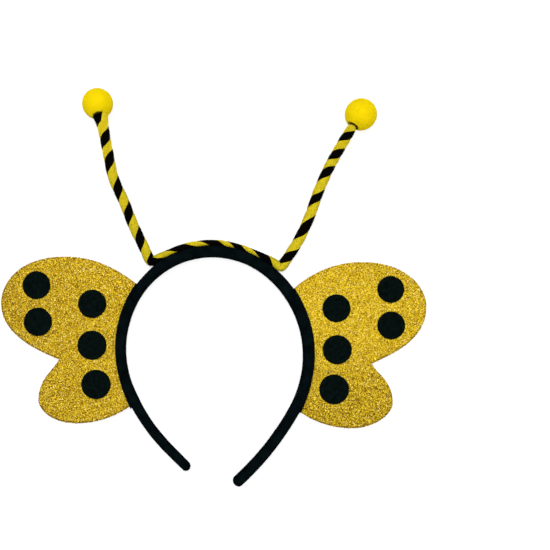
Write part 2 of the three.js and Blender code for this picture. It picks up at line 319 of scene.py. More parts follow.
def scatter(
    obj: bpy.types.Object, count: int, rng: np.random.Generator, upward: float = -math.inf
) -> tuple[np.ndarray, np.ndarray]:
    """Spread points evenly over a mesh.

    Args:
        obj: The mesh object.
        count: How many points.
        rng: Where the points fall.
        upward: Only faces whose normal has at least this Z take points.

    Returns:
        The points in millimetres, and the faces' normals there.
    """
    mesh = obj.data
    mesh.calc_loop_triangles()
    corners = np.empty(len(mesh.loop_triangles) * 3, np.int32)
    mesh.loop_triangles.foreach_get("vertices", corners)
    triangles = vertices_of(obj)[corners.reshape(-1, 3)]
    crossed = np.cross(triangles[:, 1] - triangles[:, 0], triangles[:, 2] - triangles[:, 0])
    doubled = np.linalg.norm(crossed, axis=1)
    normals = crossed / np.maximum(doubled, TINY)[:, None]
    share = np.where(normals[:, 2] >= upward, doubled, 0)
    chosen = rng.choice(len(triangles), count, p=share / share.sum())
    first, second = rng.random((2, count, 1))
    folded = first + second > 1
    first, second = np.where(folded, 1 - first, first), np.where(folded, 1 - second, second)
    origin, along, over = triangles[chosen, 0], triangles[chosen, 1], triangles[chosen, 2]
    return origin + first * (along - origin) + second * (over - origin), normals[chosen]


def to_outline(places: np.ndarray, outline: np.ndarray) -> tuple[np.ndarray, np.ndarray]:
    """Find how far points lie from a closed outline, seen from above.

    Args:
        places: Points in millimetres, one row each.
        outline: The outline's points in order.

    Returns:
        Each point's distance to the outline's nearest stretch, and how far towards -Y that stretch lies.
    """
    nearest = np.full(len(places), np.inf)
    below = np.zeros(len(places))
    for start, end in zip(outline[:, :2], np.roll(outline[:, :2], -1, axis=0)):
        run = end - start
        share = np.clip((places[:, :2] - start) @ run / max(run @ run, TINY), 0, 1)
        way = start + share[:, None] * run - places[:, :2]
        apart = np.linalg.norm(way, axis=1)
        below = np.where(apart < nearest, -way[:, 1], below)
        nearest = np.minimum(nearest, apart)
    return nearest, below


def join(base: bpy.types.Object, *others: bpy.types.Object) -> bpy.types.Object:
    """Join objects into one, keeping each one's materials.

    Args:
        base: The object that takes in the others.
        others: The objects that are taken in.

    Returns:
        The base object.
    """
    activate(base)
    for other in others:
        other.select_set(True)
    bpy.ops.object.join()
    return base


def shade_smooth(obj: bpy.types.Object, crease: float) -> None:
    """Shade a piece smooth, apart from edges sharper than this angle in degrees."""
    activate(obj)
    bpy.ops.object.shade_smooth_by_angle(angle=math.radians(crease))


def give_materials(obj: bpy.types.Object, *materials: bpy.types.Material) -> None:
    """Fill an object's empty material slots in order."""
    for material in materials:
        obj.data.materials.append(material)


def hand_over(obj: bpy.types.Object, slot: str, *nodes: str) -> None:
    """Let a finished piece ride on the frame and stand for its solids.

    Args:
        obj: The finished piece.
        slot: The record's material slot; not used.
        nodes: The solids that the piece stands for.
    """
    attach(obj, BODY)
    if nodes:
        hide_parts(*nodes)
    log.info("%s: %d faces", obj.name, len(obj.data.polygons))


# Finishes


class Shader:
    """A material's nodes round one Principled surface."""

    def __init__(self, name: str) -> None:
        """Start a material.

        Args:
            name: The material's name.
        """
        self.material = bpy.data.materials.new(name)
        self.material.use_nodes = True
        self.nodes = self.material.node_tree.nodes
        self.surface = self.nodes["Principled BSDF"]

    def set(self, **values: object) -> None:
        """Set the surface's own sockets, with underscores for the spaces in their names."""
        for name, value in values.items():
            self.surface.inputs[name.replace("_", " ")].default_value = value

    def add(self, kind: str) -> bpy.types.Node:
        """Add a node, whose type is given without the words that every shader node's type begins with."""
        return self.nodes.new("ShaderNode" + kind)

    def link(self, source: bpy.types.NodeSocket, target: bpy.types.NodeSocket) -> None:
        """Join one node's output to another's input."""
        self.material.node_tree.links.new(source, target)

    def texture(self, kind: str, cell: float, **values: float) -> bpy.types.Node:
        """Add a texture on the piece's own coordinates.

        Args:
            kind: The texture node's type.
            cell: The size of one cell in millimetres.
            values: Values for its other sockets by name.

        Returns:
            The new texture node.
        """
        node = self.add(kind)
        for name, value in {"Scale": 1 / (cell * MM), **values}.items():
            node.inputs[name].default_value = value
        self.link(self.add("TexCoord").outputs["Object"], node.inputs["Vector"])
        return node

    def colour(self, value: bpy.types.NodeSocket, stops: Stops) -> None:
        """Colour the surface by a value.

        Args:
            value: The socket that gives the value.
            stops: Places from 0 to 1 and their colours.
        """
        node = self.add("ValToRGB")
        elements = node.color_ramp.elements
        for _ in range(len(stops) - len(elements)):
            elements.new(0.5)
        for element, (place, colour) in zip(elements, stops):
            element.position = place
            element.color = (*colour, 1)
        self.link(value, node.inputs["Fac"])
        self.link(node.outputs["Color"], self.surface.inputs["Base Color"])

    def bump(self, height: bpy.types.NodeSocket, deep: float, strength: float) -> None:
        """Roughen the surface.

        Args:
            height: The socket that gives the height.
            deep: The relief's depth in millimetres.
            strength: How strongly it shows.
        """
        node = self.add("Bump")
        node.inputs["Strength"].default_value = strength
        node.inputs["Distance"].default_value = deep * MM
        self.link(height, node.inputs["Height"])
        self.link(node.outputs["Normal"], self.surface.inputs["Normal"])


@dataclass(frozen=True)
class PlainFinish:
    """One even tone, for fibres and flakes that are too small for a pattern."""

    name: str
    colour: Colour
    roughness: float = 0.9
    metallic: float = 0.0
    sheen: float = 0.0
    sheen_tint: Colour = (1.0, 1.0, 1.0)

    def material(self) -> bpy.types.Material:
        """Make the material.

        Returns:
            A new material with this finish.
        """
        shader = Shader(self.name)
        shader.set(Base_Color=(*self.colour, 1), Roughness=self.roughness, Metallic=self.metallic)
        shader.set(Specular_IOR_Level=0.0, Sheen_Weight=self.sheen, Sheen_Tint=(*self.sheen_tint, 1))
        return shader.material


@dataclass(frozen=True)
class NapFinish:
    """Cloth with a nap: blotches of two tones, and a fine grain."""

    name: str
    dark: Colour
    light: Colour
    blotch: float
    grain: float
    relief: float
    roughness: float = 0.92
    blotch_detail: float = 6.0
    dark_to: float = 0.35
    light_from: float = 0.7
    grain_detail: float = 8.0
    strength: float = 0.8

    def material(self) -> bpy.types.Material:
        """Make the material.

        Returns:
            A new material with this finish.
        """
        shader = Shader(self.name)
        shader.set(Roughness=self.roughness, Specular_IOR_Level=0.0)
        blotches = shader.texture("TexNoise", self.blotch, Detail=self.blotch_detail)
        shader.colour(blotches.outputs["Fac"], ((self.dark_to, self.dark), (self.light_from, self.light)))
        grain = shader.texture("TexNoise", self.grain, Detail=self.grain_detail)
        shader.bump(grain.outputs["Fac"], self.relief, self.strength)
        return shader.material


@dataclass(frozen=True)
class GlitterFinish:
    """The coat of fine gold glitter under the larger flakes: a tone for each small cell."""

    name: str
    cell: float
    tones: Stops
    metallic: float
    roughness: float
    relief: float
    strength: float = 1.0

    def material(self) -> bpy.types.Material:
        """Make the material.

        Returns:
            A new material with this finish.
        """
        shader = Shader(self.name)
        shader.set(Metallic=self.metallic, Roughness=self.roughness, Specular_IOR_Level=0.0)
        grains = shader.texture("TexVoronoi", self.cell)
        split = shader.add("SeparateColor")
        shader.link(grains.outputs["Color"], split.inputs["Color"])
        shader.colour(split.outputs["Red"], self.tones)
        shader.bump(grains.outputs["Distance"], self.relief, self.strength)
        return shader.material


@dataclass(frozen=True)
class FoamFinish:
    """Foam with fine closed cells, on the wings' edges and backs; its dark tone is partly painted shade for
    their shadowed sides.
    """

    name: str
    dark: Colour
    light: Colour
    cell: float
    light_from: float = 0.6
    roughness: float = 0.75
    shine: float = 0.3
    relief: float = 0.08
    strength: float = 0.6

    def material(self) -> bpy.types.Material:
        """Make the material.

        Returns:
            A new material with this finish.
        """
        shader = Shader(self.name)
        shader.set(Roughness=self.roughness, Specular_IOR_Level=self.shine)
        cells = shader.texture("TexVoronoi", self.cell)
        shader.colour(cells.outputs["Distance"], ((0.0, self.dark), (self.light_from, self.light)))
        shader.bump(cells.outputs["Distance"], self.relief, self.strength)
        return shader.material


VELVET = NapFinish(
    "black_velvet",
    dark=(0.0008, 0.0018, 0.0022),
    light=(0.0020, 0.0042, 0.0050),
    blotch=6.0,
    grain=0.35,
    relief=0.15,
)
FELT = NapFinish(
    "black_felt",
    dark=(0.0010, 0.0026, 0.0024),
    light=(0.0026, 0.0060, 0.0054),
    blotch=2.5,
    grain=0.5,
    relief=0.25,
)
VELVET_NAP = (
    PlainFinish("velvet_nap_dark", (0.0008, 0.0016, 0.0020)),
    PlainFinish("velvet_nap_light", (0.0028, 0.0060, 0.0072)),
)
FELT_FIBRES = (
    PlainFinish("felt_fibre_dark", (0.0008, 0.0020, 0.0018)),
    PlainFinish("felt_fibre_light", (0.0040, 0.0090, 0.0080)),
)
GLITTER = GlitterFinish(
    "glitter_coat",
    cell=0.6,
    tones=(
        (0.0, (0.085, 0.044, 0.002)),
        (0.3, (0.225, 0.130, 0.005)),
        (0.65, (0.42, 0.265, 0.010)),
        (1.0, (0.72, 0.53, 0.04)),
    ),
    metallic=0.2,
    roughness=0.45,
    relief=0.25,
)
FLAKES = (
    PlainFinish("flake_yellow", (0.72, 0.53, 0.018), roughness=0.4, metallic=0.4),
    PlainFinish("flake_pale", (0.92, 0.77, 0.26), roughness=0.4, metallic=0.4),
    PlainFinish("flake_gold", (0.46, 0.275, 0.008), roughness=0.4, metallic=0.4),
    PlainFinish("flake_deep", (0.26, 0.137, 0.008), roughness=0.45, metallic=0.4),
    PlainFinish("flake_brown", (0.08, 0.041, 0.009), roughness=0.5, metallic=0.3),
)
# The foam's own ochre, darkened as painted shade for the shadowed cut edges of the wings.
FOAM = FoamFinish("foam_edge", dark=(0.08, 0.055, 0.010), light=(0.17, 0.115, 0.02), cell=0.5)
CHENILLE = {
    Strand.BLACK: (
        PlainFinish("black_tuft", (0.0018, 0.0016, 0.0012)),
        PlainFinish("black_tuft_dark", (0.0008, 0.0007, 0.0005)),
        PlainFinish("black_tuft_light", (0.0060, 0.0052, 0.0042)),
    ),
    Strand.YELLOW: (
        PlainFinish("yellow_tuft", (0.507, 0.412, 0.012)),
        PlainFinish("yellow_tuft_dark", (0.278, 0.225, 0.006)),
        PlainFinish("yellow_tuft_light", (0.80, 0.66, 0.034)),
    ),
}
POMPOM_SHEEN = {"sheen": 0.7, "sheen_tint": (0.75, 0.92, 0.02)}
POMPOM_TONES = (
    PlainFinish("pompom_yellow", (0.69, 0.52, 0.002), **POMPOM_SHEEN),
    PlainFinish("pompom_dark", (0.63, 0.46, 0.001), **POMPOM_SHEEN),
    PlainFinish("pompom_light", (0.74, 0.57, 0.006), **POMPOM_SHEEN),
    # Dark brown for painted shade in the crevice where the rope goes into a pompom.
    PlainFinish("pompom_socket_shade", (0.08, 0.045, 0.002)),
)


# The hoop and what follows its line


@dataclass(frozen=True)
class Arc:
    """A stretch of the hoop's line: its radius, and its sweep in degrees."""

    radius: float
    sweep: float

    @property
    def length(self) -> float:
        """The stretch's length along the line."""
        return self.radius * math.radians(self.sweep)


@dataclass(frozen=True)
class Section:
    """The rounded section of a strip that follows the hoop's line."""

    thick: float
    wide: float
    corner: float
    steps: int
    offset: float = 0.0


@dataclass(frozen=True)
class HoopLine:
    """The line that the hoop follows, measured from the crown, below zero on the left limb.

    The table of padding gives its thickness by that distance.
    """

    crown: tuple[float, float] = (-4.9, 23.8)
    lean: float = 3.6
    left: tuple[Arc, ...] = (Arc(61.8, 50.9), Arc(71.9, 58.8), Arc(134.0, 20.95), Arc(1000.0, 1.2))
    right: tuple[Arc, ...] = (Arc(61.8, 41.9), Arc(75.0, 80.3), Arc(195.0, 20.2))
    inner: float = 3.2
    thick: float = 8.2
    wide: float = 10.0
    padding: Table = (
        (-197.0, 6.4),
        (-140.0, 6.9),
        (-115.0, 6.85),
        (-80.0, 7.3),
        (-47.0, 7.45),
        (-32.0, 8.2),
        (43.0, 8.2),
        (53.0, 8.45),
        (66.0, 8.4),
        (74.0, 8.1),
        (95.0, 8.05),
        (115.0, 7.75),
        (128.0, 7.5),
        (145.0, 7.65),
        (218.0, 7.6),
    )
    measured_every: float = 0.5

    def length(self, side: Side) -> float:
        """The length of one limb, from the crown to its tip."""
        return sum(arc.length for arc in (self.left if side is Side.LEFT else self.right))

    def at(self, distance: float) -> tuple[np.ndarray, np.ndarray]:
        """Find a place on the line.

        Args:
            distance: Signed distance from the crown.

        Returns:
            The point, and the direction outward from it.
        """
        sign = -1 if distance < 0 else 1
        heading = math.radians(self.lean) + (math.pi if distance < 0 else 0)
        point = np.array(self.crown)
        remaining = abs(distance)
        for arc in self.left if distance < 0 else self.right:
            bend = min(remaining, arc.length) / arc.radius
            chord_heading = heading - sign * bend / 2
            chord = 2 * arc.radius * math.sin(bend / 2)
            point = point + chord * np.array([math.cos(chord_heading), math.sin(chord_heading)])
            heading -= sign * bend
            remaining -= bend * arc.radius
        along = heading - (math.pi if distance < 0 else 0)
        return point, np.array([-math.sin(along), math.cos(along)])

    def thick_at(self, distance: float | np.ndarray) -> float | np.ndarray:
        """The padding's thickness at a signed distance from the crown."""
        return look_up(self.padding, distance)

    def face(self, distance: float | np.ndarray) -> float | np.ndarray:
        """How far outward from the line the hoop's outer face lies."""
        return self.thick_at(distance) - self.inner

    def beside(self, distance: float, offset: float) -> np.ndarray:
        """The point at an offset outward from the hoop's outer face."""
        point, out = self.at(distance)
        return point + out * (self.face(distance) + offset)

    def measure(self, places: np.ndarray) -> tuple[np.ndarray, np.ndarray, np.ndarray]:
        """Measure points against the line.

        Args:
            places: Points in millimetres, one row each.

        Returns:
            Each point's distance along the line, its offset outward from it, and the way outward there.
        """
        marks = np.arange(-self.length(Side.LEFT), self.length(Side.RIGHT), self.measured_every)
        stations = [self.at(mark) for mark in marks]
        points = np.array([point for point, _ in stations])
        outs = np.array([out for _, out in stations])
        near = np.argmin(np.linalg.norm(places[:, None, :2] - points[None], axis=2), axis=1)
        offsets = np.einsum("ij,ij->i", places[:, :2] - points[near], outs[near])
        return marks[near], offsets, outs[near]

    def arcs_between(self, start: float, end: float) -> Iterator[tuple[float, float, float]]:
        """Cut the line into arcs.

        Args:
            start: Signed distance where the first one starts.
            end: Signed distance where the last one ends.

        Yields:
            Where each arc starts and ends, and its radius.
        """
        low = -self.length(Side.LEFT)
        for arc in (*reversed(self.left), *self.right):
            high = low + arc.length
            if min(high, end) - max(low, start) > TINY:
                yield max(low, start), min(high, end), arc.radius
            low = high

    def sweep(
        self, name: str, span: tuple[float, float], section: Section, step: float
    ) -> bpy.types.Object:
        """Model a strip that follows the line, by spinning its section from arc to arc.

        Args:
            name: The new object's name.
            span: The signed distances where the strip starts and ends.
            section: The strip's section.
            step: About how far apart its rings lie.

        Returns:
            The strip, closed at both ends.
        """
        point, out = self.at(span[0])
        middle = point + section.offset * out
        deselect()
        bpy.ops.mesh.primitive_plane_add(size=MM)
        strip = named(name)
        with editing(strip):
            bpy.ops.transform.resize(value=(section.thick, section.wide, 1))
            bpy.ops.mesh.bevel(offset=section.corner * MM, segments=section.steps, affect="VERTICES")
        strip.location = (middle[0] * MM, middle[1] * MM, self.wide / 2 * MM)
        strip.rotation_euler = (math.pi / 2, 0, math.atan2(out[1], out[0]))
        apply_place(strip)
        with editing(strip):
            for low, high, radius in self.arcs_between(*span):
                at, away = self.at((low + high) / 2)
                centre = (at - radius * away) * MM
                bpy.ops.mesh.spin(
                    steps=math.ceil((high - low) / step),
                    angle=(high - low) / radius,
                    center=(centre[0], centre[1], 0),
                    axis=(0, 0, 1),
                )
            bpy.ops.mesh.select_all(action="SELECT")
            bpy.ops.mesh.remove_doubles(threshold=WELD * MM)
            bpy.ops.mesh.normals_make_consistent(inside=False)
        return strip


@dataclass
class Hoop:
    """The padded hoop under its black nap."""

    line: HoopLine
    corner: float = 2.6
    corner_steps: int = 5
    ring_step: float = 2.5
    tip: float = 3.4
    tip_stops: tuple[float, ...] = (16.0, 32.0, 48.0, 62.0, 74.0, 83.0)
    cap_facing: float = 0.99
    pinch: float = 0.3
    pinch_run: tuple[float, float] = (132.0, 155.0)
    lump_size: float = 9.0
    lump_deep: float = 0.12
    lump_seed: float = 3.0
    fill: float = 0.9
    nap_seed: int = 11
    nap_count: int = 14000
    nap_length: tuple[float, float] = (0.35, 0.65)
    nap_reach: float = 0.07
    nap_lean: float = 0.35
    nap_sunk: float = 0.1
    floor_gap: float = 0.02

    def round_tip(self, hoop: bpy.types.Object, distance: float, sign: int) -> None:
        """Round one end, by drawing its cap out in narrowing steps.

        Args:
            hoop: The swept hoop.
            distance: Where the end's cap lies on the line.
            sign: 1 to draw it on along the line, -1 to draw it back.
        """
        point, out = self.line.at(distance)
        along = sign * np.array([out[1], -out[0], 0.0])
        middle = np.array([*(point + out * (self.line.thick / 2 - self.line.inner)), self.line.wide / 2])
        with editing(hoop):
            pick_faces(
                hoop,
                lambda face: face.normal.dot(Vector(along)) > self.cap_facing
                and (face.calc_center_median() / MM - Vector(middle)).length < self.line.thick / 2,
            )
            run, width = 0.0, 1.0
            for stop in self.tip_stops:
                new_run = self.tip * math.sin(math.radians(stop))
                new_width = math.cos(math.radians(stop))
                shift = along * (new_run - run) * MM
                bpy.ops.mesh.extrude_region_move(TRANSFORM_OT_translate={"value": tuple(shift)})
                bpy.ops.transform.resize(
                    value=(new_width / width,) * 3,
                    center_override=tuple((middle + along * new_run) * MM),
                )
                run, width = new_run, new_width

    def build(self) -> bpy.types.Object:
        """Model the hoop's body.

        Returns:
            The hoop, with its padding's thickness and lumps.
        """
        line = self.line
        start = self.tip - line.length(Side.LEFT)
        end = line.length(Side.RIGHT) - self.tip
        section = Section(
            thick=line.thick,
            wide=line.wide,
            corner=self.corner,
            steps=self.corner_steps,
            offset=line.thick / 2 - line.inner,
        )
        hoop = line.sweep("velvet_hoop", (start, end), section, self.ring_step)
        self.round_tip(hoop, start, -1)
        self.round_tip(hoop, end, 1)
        put_in_order(hoop)
        places = vertices_of(hoop)
        distances, offsets, outs = line.measure(places)
        share = (offsets + line.inner) / line.thick
        swell = share * (line.thick_at(distances) - line.thick)
        swell += (1 - share) * self.pinch * smooth(np.abs(distances), *self.pinch_run)
        swell += self.lump_deep * lumps(places, self.lump_size, self.lump_seed) * np.sign(share - 0.5)
        places[:, :2] += swell[:, None] * outs
        set_vertices(hoop, places)
        activate(hoop)
        bpy.ops.object.shade_smooth()
        return hoop

    def nap(self, hoop: bpy.types.Object) -> bpy.types.Object:
        """Grow the short nap on the hoop's body.

        Args:
            hoop: The hoop's body.

        Returns:
            The nap as one object.
        """
        rng = np.random.default_rng(self.nap_seed)
        feet, normals = scatter(hoop, self.nap_count, rng)
        lean = rng.normal(0, self.nap_lean, feet.shape)
        lengths = rng.uniform(*self.nap_length, (len(feet), 1))
        peaks = off_floor(feet + unit(normals + lean) * lengths, self.floor_gap)
        points = pyramids(feet - self.nap_sunk * normals, peaks, self.nap_reach, rng)
        return pyramid_piece("velvet_nap", points, rng.integers(0, len(VELVET_NAP), len(feet)))

    def dress(self) -> None:
        """Build the hoop, give it its finishes and hand it over."""
        hoop = self.build()
        nap = self.nap(hoop)
        give_materials(hoop, VELVET.material())
        give_materials(nap, *(tone.material() for tone in VELVET_NAP))
        hand_over(hoop, "black_velvet", "hoop")
        hand_over(nap, "black_velvet")


@dataclass(frozen=True)
class Root:
    """Where a wing's root runs along the hoop, and how far it stands off the padding."""

    top: float
    bottom: float
    top_offset: float
    least_offset: float
    bottom_offset: float
    felt_past_top: float
    felt_past_bottom: float
    nearest: float = 0.65

    def offset(self, distances: float | np.ndarray) -> float | np.ndarray:
        """Find how far the root stands off the padding.

        Args:
            distances: Signed distances along the hoop.

        Returns:
            An offset for each. It falls from the root's top to the least one, and rises to its bottom.
        """
        share = np.clip((np.abs(distances) - self.top) / (self.bottom - self.top), 0, 1)
        end = np.where(share < self.nearest, self.top_offset, self.bottom_offset)
        run = np.where(share < self.nearest, self.nearest, 1 - self.nearest)
        return self.least_offset + (end - self.least_offset) * ((share - self.nearest) / run) ** 2

    def face(self, line: HoopLine, distances: float | np.ndarray) -> float | np.ndarray:
        """How far outward from the hoop's line the root lies at each signed distance along it."""
        return line.face(distances) + self.offset(distances)


@dataclass(frozen=True)
class FeltFibres:
    """Loose fibres on a felt piece. Rise stands them off its faces, and slope lets them run up and down."""

    count: int
    length: tuple[float, float]
    rise: float
    slope: float = 1.0
    upward: float = -math.inf
    reach: float = 0.05
    floor_gap: float = 0.1

    def grow(self, felt: bpy.types.Object, name: str, seed: int) -> bpy.types.Object:
        """Raise the fibres on a piece.

        Args:
            felt: The felt piece.
            name: The new object's name.
            seed: Makes the fibres its own.

        Returns:
            The fibres as one object.
        """
        rng = np.random.default_rng(seed)
        feet, normals = scatter(felt, self.count, rng, self.upward)
        lengths = rng.uniform(*self.length, (len(feet), 1))
        ways = unit(rng.normal(0, 1, feet.shape) * (1, 1, self.slope) + self.rise * normals)
        points = pyramids(feet, off_floor(feet + lengths * ways, self.floor_gap), self.reach, rng)
        return pyramid_piece(name, points, rng.integers(0, len(FELT_FIBRES), len(feet)))


@dataclass
class RootStrip:
    """The felt strip between the hoop's outer face and a wing's root."""

    line: HoopLine
    side: Side
    root: Root
    thick: float = 1.1
    wide: float = 8.4
    corner: float = 0.3
    corner_steps: int = 2
    step: float = 3.0
    crease: float = 40.0
    fibres: FeltFibres = FeltFibres(count=2500, length=(0.2, 0.5), rise=0.8)
    fibre_seed: int = 31

    def build(self) -> bpy.types.Object:
        """Model the strip.

        Returns:
            The strip, with its outer face along the wing's root.
        """
        sign, root = self.side.value, self.root
        span = sorted((sign * (root.top - root.felt_past_top), sign * (root.bottom + root.felt_past_bottom)))
        section = Section(self.thick, self.wide, self.corner, self.corner_steps)
        strip = self.line.sweep(f"felt_strip_{self.side.label}", tuple(span), section, self.step)
        put_in_order(strip)
        places = vertices_of(strip)
        distances, _, outs = self.line.measure(places)
        places[:, :2] += (root.face(self.line, distances) - self.thick / 2)[:, None] * outs
        set_vertices(strip, places)
        return strip

    def dress(self) -> None:
        """Build the strip, raise its fibres and hand both over."""
        strip = self.build()
        name = f"felt_strip_fibres_{self.side.label}"
        fibres = self.fibres.grow(strip, name, self.fibre_seed + self.side.value)
        give_materials(strip, FELT.material())
        give_materials(fibres, *(tone.material() for tone in FELT_FIBRES))
        shade_smooth(strip, self.crease)
        hand_over(strip, "black_felt", f"strip_{self.side.label}")
        hand_over(fibres, "black_felt")


# The wings


@dataclass(frozen=True)
class Knot:
    """A point of a wing's outline, out and up from its seat, with the curve's headings and handles there."""

    out: float
    up: float
    arrive: float
    leave: float
    reach_in: float
    reach_out: float


@dataclass(frozen=True)
class WingPattern:
    """What a wing was cut to: the knots of its free edge, and how that edge leaves the root's top."""

    knots: tuple[Knot, ...]
    top_heading: float
    top_reach: float
    bottom_heading: float = 145.0
    bottom_reach: float = 3.0
    root_step: float = 11.0
    thick: float = 2.0
    seat_height: float = 5.6
    tip_drop: float = 2.4
    lobe_drop: float = 1.5
    span: float = 83.0
    half_height: float = 60.0
    cell: float = 3.0
    curve_steps: int = 14
    edge_round: float = 0.4
    round_steps: int = 2
    round_past: float = 60.0
    crease: float = 50.0
    wave_size: float = 38.0
    wave_deep: float = 0.25
    wave_shift: float = 7.0


@dataclass(frozen=True)
class SpotPlace:
    """Where a felt spot was glued, and how far it is across."""

    x: float
    y: float
    across: float


@dataclass
class Wing:
    """A wing of foam sheet faced with glitter, and the felt spots on it.

    The first table goes by the height above the seat and says how much brighter than middling the flakes are
    drawn: painted light and shade. The grain table, by the same height, says how widely their tones differ.
    Three amounts paint shade on the flakes far out towards the tip and along the free edge, most where it
    faces down, and the rim's gain brightens them beside the felt.
    """

    line: HoopLine
    side: Side
    root: Root
    pattern: WingPattern
    spots: tuple[SpotPlace, ...]
    seat: tuple[float, float]
    turn: float = 0.0
    # Painted light and shade: how much brighter the flakes are drawn at each height above the seat.
    painted_light: Table = ((0.0, 0.05),)
    grain: Table = ((0.0, 1.1),)
    flake_seed: int = 51
    flake_count: int = 28000
    flake_reach: tuple[float, float] = (0.30, 0.55)
    flake_rise: tuple[float, float] = (0.06, 0.16)
    flake_tilt: float = 0.28
    flake_lift: float = 0.02
    flakes_under_spot: float = 0.8
    flake_shares: tuple[float, ...] = (0.22, 0.09, 0.32, 0.22, 0.15)
    # Painted shade: flakes drawn darker far out towards the tip and along the free edge, most where it faces
    # down.
    outward_painted_shade: float = 0.15
    edge_painted_shade: float = 0.22
    lower_edge_painted_shade: float = 0.5
    edge_run: float = 1.05
    rim_gain: float = 0.22
    rim_run: float = 1.3

    def place(self, out: float, up: float) -> np.ndarray:
        """Find a point from the wing's seat.

        Args:
            out: How far out it lies, before the wing is turned.
            up: How far up it lies.

        Returns:
            The point's X and Y.
        """
        turn = math.radians(self.turn)
        x = out * math.cos(turn) - up * math.sin(turn)
        y = out * math.sin(turn) + up * math.cos(turn)
        return np.array([self.seat[0] + self.side.value * x, self.seat[1] + y])

    def heading(self, degrees: float) -> np.ndarray:
        """The direction at this angle from straight out."""
        angle = math.radians(degrees + self.turn)
        return np.array([self.side.value * math.cos(angle), math.sin(angle)])

    def height(self, places: np.ndarray) -> np.ndarray:
        """The height of the sheet's middle.

        Args:
            places: Points in millimetres, one row each.

        Returns:
            A height for each point. The sheet droops towards its tip and its lobes' ends.
        """
        pattern = self.pattern
        out = np.maximum(self.side.value * (places[:, 0] - self.seat[0]), 0) / pattern.span
        up = (places[:, 1] - self.seat[1]) / pattern.half_height
        waves = np.column_stack([places[:, :2], np.zeros(len(places))])
        wave = pattern.wave_deep * lumps(waves, pattern.wave_size, pattern.wave_shift * self.side.value)
        return pattern.seat_height - pattern.tip_drop * out**2 - pattern.lobe_drop * up**2 + wave

    def outline(self) -> list[list[np.ndarray]]:
        """Work out the outline's knots.

        Returns:
            Each knot's point, the handle before it and the handle after it.
        """
        pattern, sign, span = self.pattern, self.side.value, self.root.bottom - self.root.top
        steps = math.ceil(span / pattern.root_step)
        step = span / steps
        root = []
        for index in range(steps + 1):
            distance = sign * (self.root.bottom - index * step)
            point = self.line.beside(distance, float(self.root.offset(distance)))
            _, out = self.line.at(distance)
            up_limb = -sign * np.array([out[1], -out[0]]) * step / 3
            root.append([point, point - up_limb, point + up_limb])
        bottom, top = root[0], root[-1]
        bottom[1] = bottom[0] - pattern.bottom_reach * self.heading(pattern.bottom_heading)
        top[2] = top[0] + pattern.top_reach * self.heading(pattern.top_heading)
        knots = []
        for knot in pattern.knots:
            point = self.place(knot.out, knot.up)
            before = point - knot.reach_in * self.heading(knot.arrive)
            knots.append([point, before, point + knot.reach_out * self.heading(knot.leave)])
        return [*knots, *root]

    def build_sheet(self) -> tuple[bpy.types.Object, np.ndarray]:
        """Model the foam sheet: draw its outline, fill it, cut it into cells, bend it and thicken it.

        Returns:
            The sheet, with its glittered face in the first material slot and the rest in the second, and
            the points of its outline in order.
        """
        pattern = self.pattern
        deselect()
        bpy.ops.curve.primitive_bezier_curve_add()
        sheet = named(f"foam_wing_{self.side.label}")
        sheet.data.dimensions = "2D"
        sheet.data.fill_mode = "NONE"
        sheet.data.resolution_u = pattern.curve_steps
        spline = sheet.data.splines[0]
        knots = self.outline()
        spline.bezier_points.add(len(knots) - len(spline.bezier_points))
        spline.use_cyclic_u = True
        for point, (at, before, after) in zip(spline.bezier_points, knots):
            point.handle_left_type = point.handle_right_type = "FREE"
            point.co = (at[0] * MM, at[1] * MM, 0)
            point.handle_left = (before[0] * MM, before[1] * MM, 0)
            point.handle_right = (after[0] * MM, after[1] * MM, 0)
        bpy.ops.object.convert(target="MESH")
        sheet = bpy.context.object
        sheet.data.name = sheet.name
        outline = vertices_of(sheet)
        low, high = outline.min(axis=0), outline.max(axis=0)
        with editing(sheet):
            bpy.ops.mesh.remove_doubles(threshold=WELD * MM)
            bpy.ops.mesh.edge_face_add()
            for axis in (0, 1):
                cuts = math.floor((high[axis] - low[axis]) / pattern.cell)
                for cut in range(1, cuts + 1):
                    place, normal = [0.0, 0.0, 0.0], [0.0, 0.0, 0.0]
                    place[axis] = (low[axis] + (high[axis] - low[axis]) * cut / (cuts + 1)) * MM
                    normal[axis] = 1.0
                    bpy.ops.mesh.select_all(action="SELECT")
                    bpy.ops.mesh.bisect(plane_co=place, plane_no=normal)
            bpy.ops.mesh.select_all(action="SELECT")
            bpy.ops.mesh.normals_make_consistent(inside=False)
        places = vertices_of(sheet)
        places[:, 2] = self.height(places)
        set_vertices(sheet, places)
        if sheet.data.polygons[0].normal.z < 0:
            with editing(sheet):
                bpy.ops.mesh.flip_normals()
        apply_modifier(sheet, "SOLIDIFY", thickness=pattern.thick * MM, offset=0.0)
        apply_modifier(
            sheet,
            "BEVEL",
            width=pattern.edge_round * MM,
            segments=pattern.round_steps,
            limit_method="ANGLE",
            angle_limit=math.radians(pattern.round_past),
        )
        normals = np.empty(len(sheet.data.polygons) * 3)
        sheet.data.polygons.foreach_get("normal", normals)
        backs = (normals.reshape(-1, 3)[:, 2] < UPRIGHT).astype(np.int32)
        sheet.data.polygons.foreach_set("material_index", backs)
        shade_smooth(sheet, pattern.crease)
        return sheet, outline

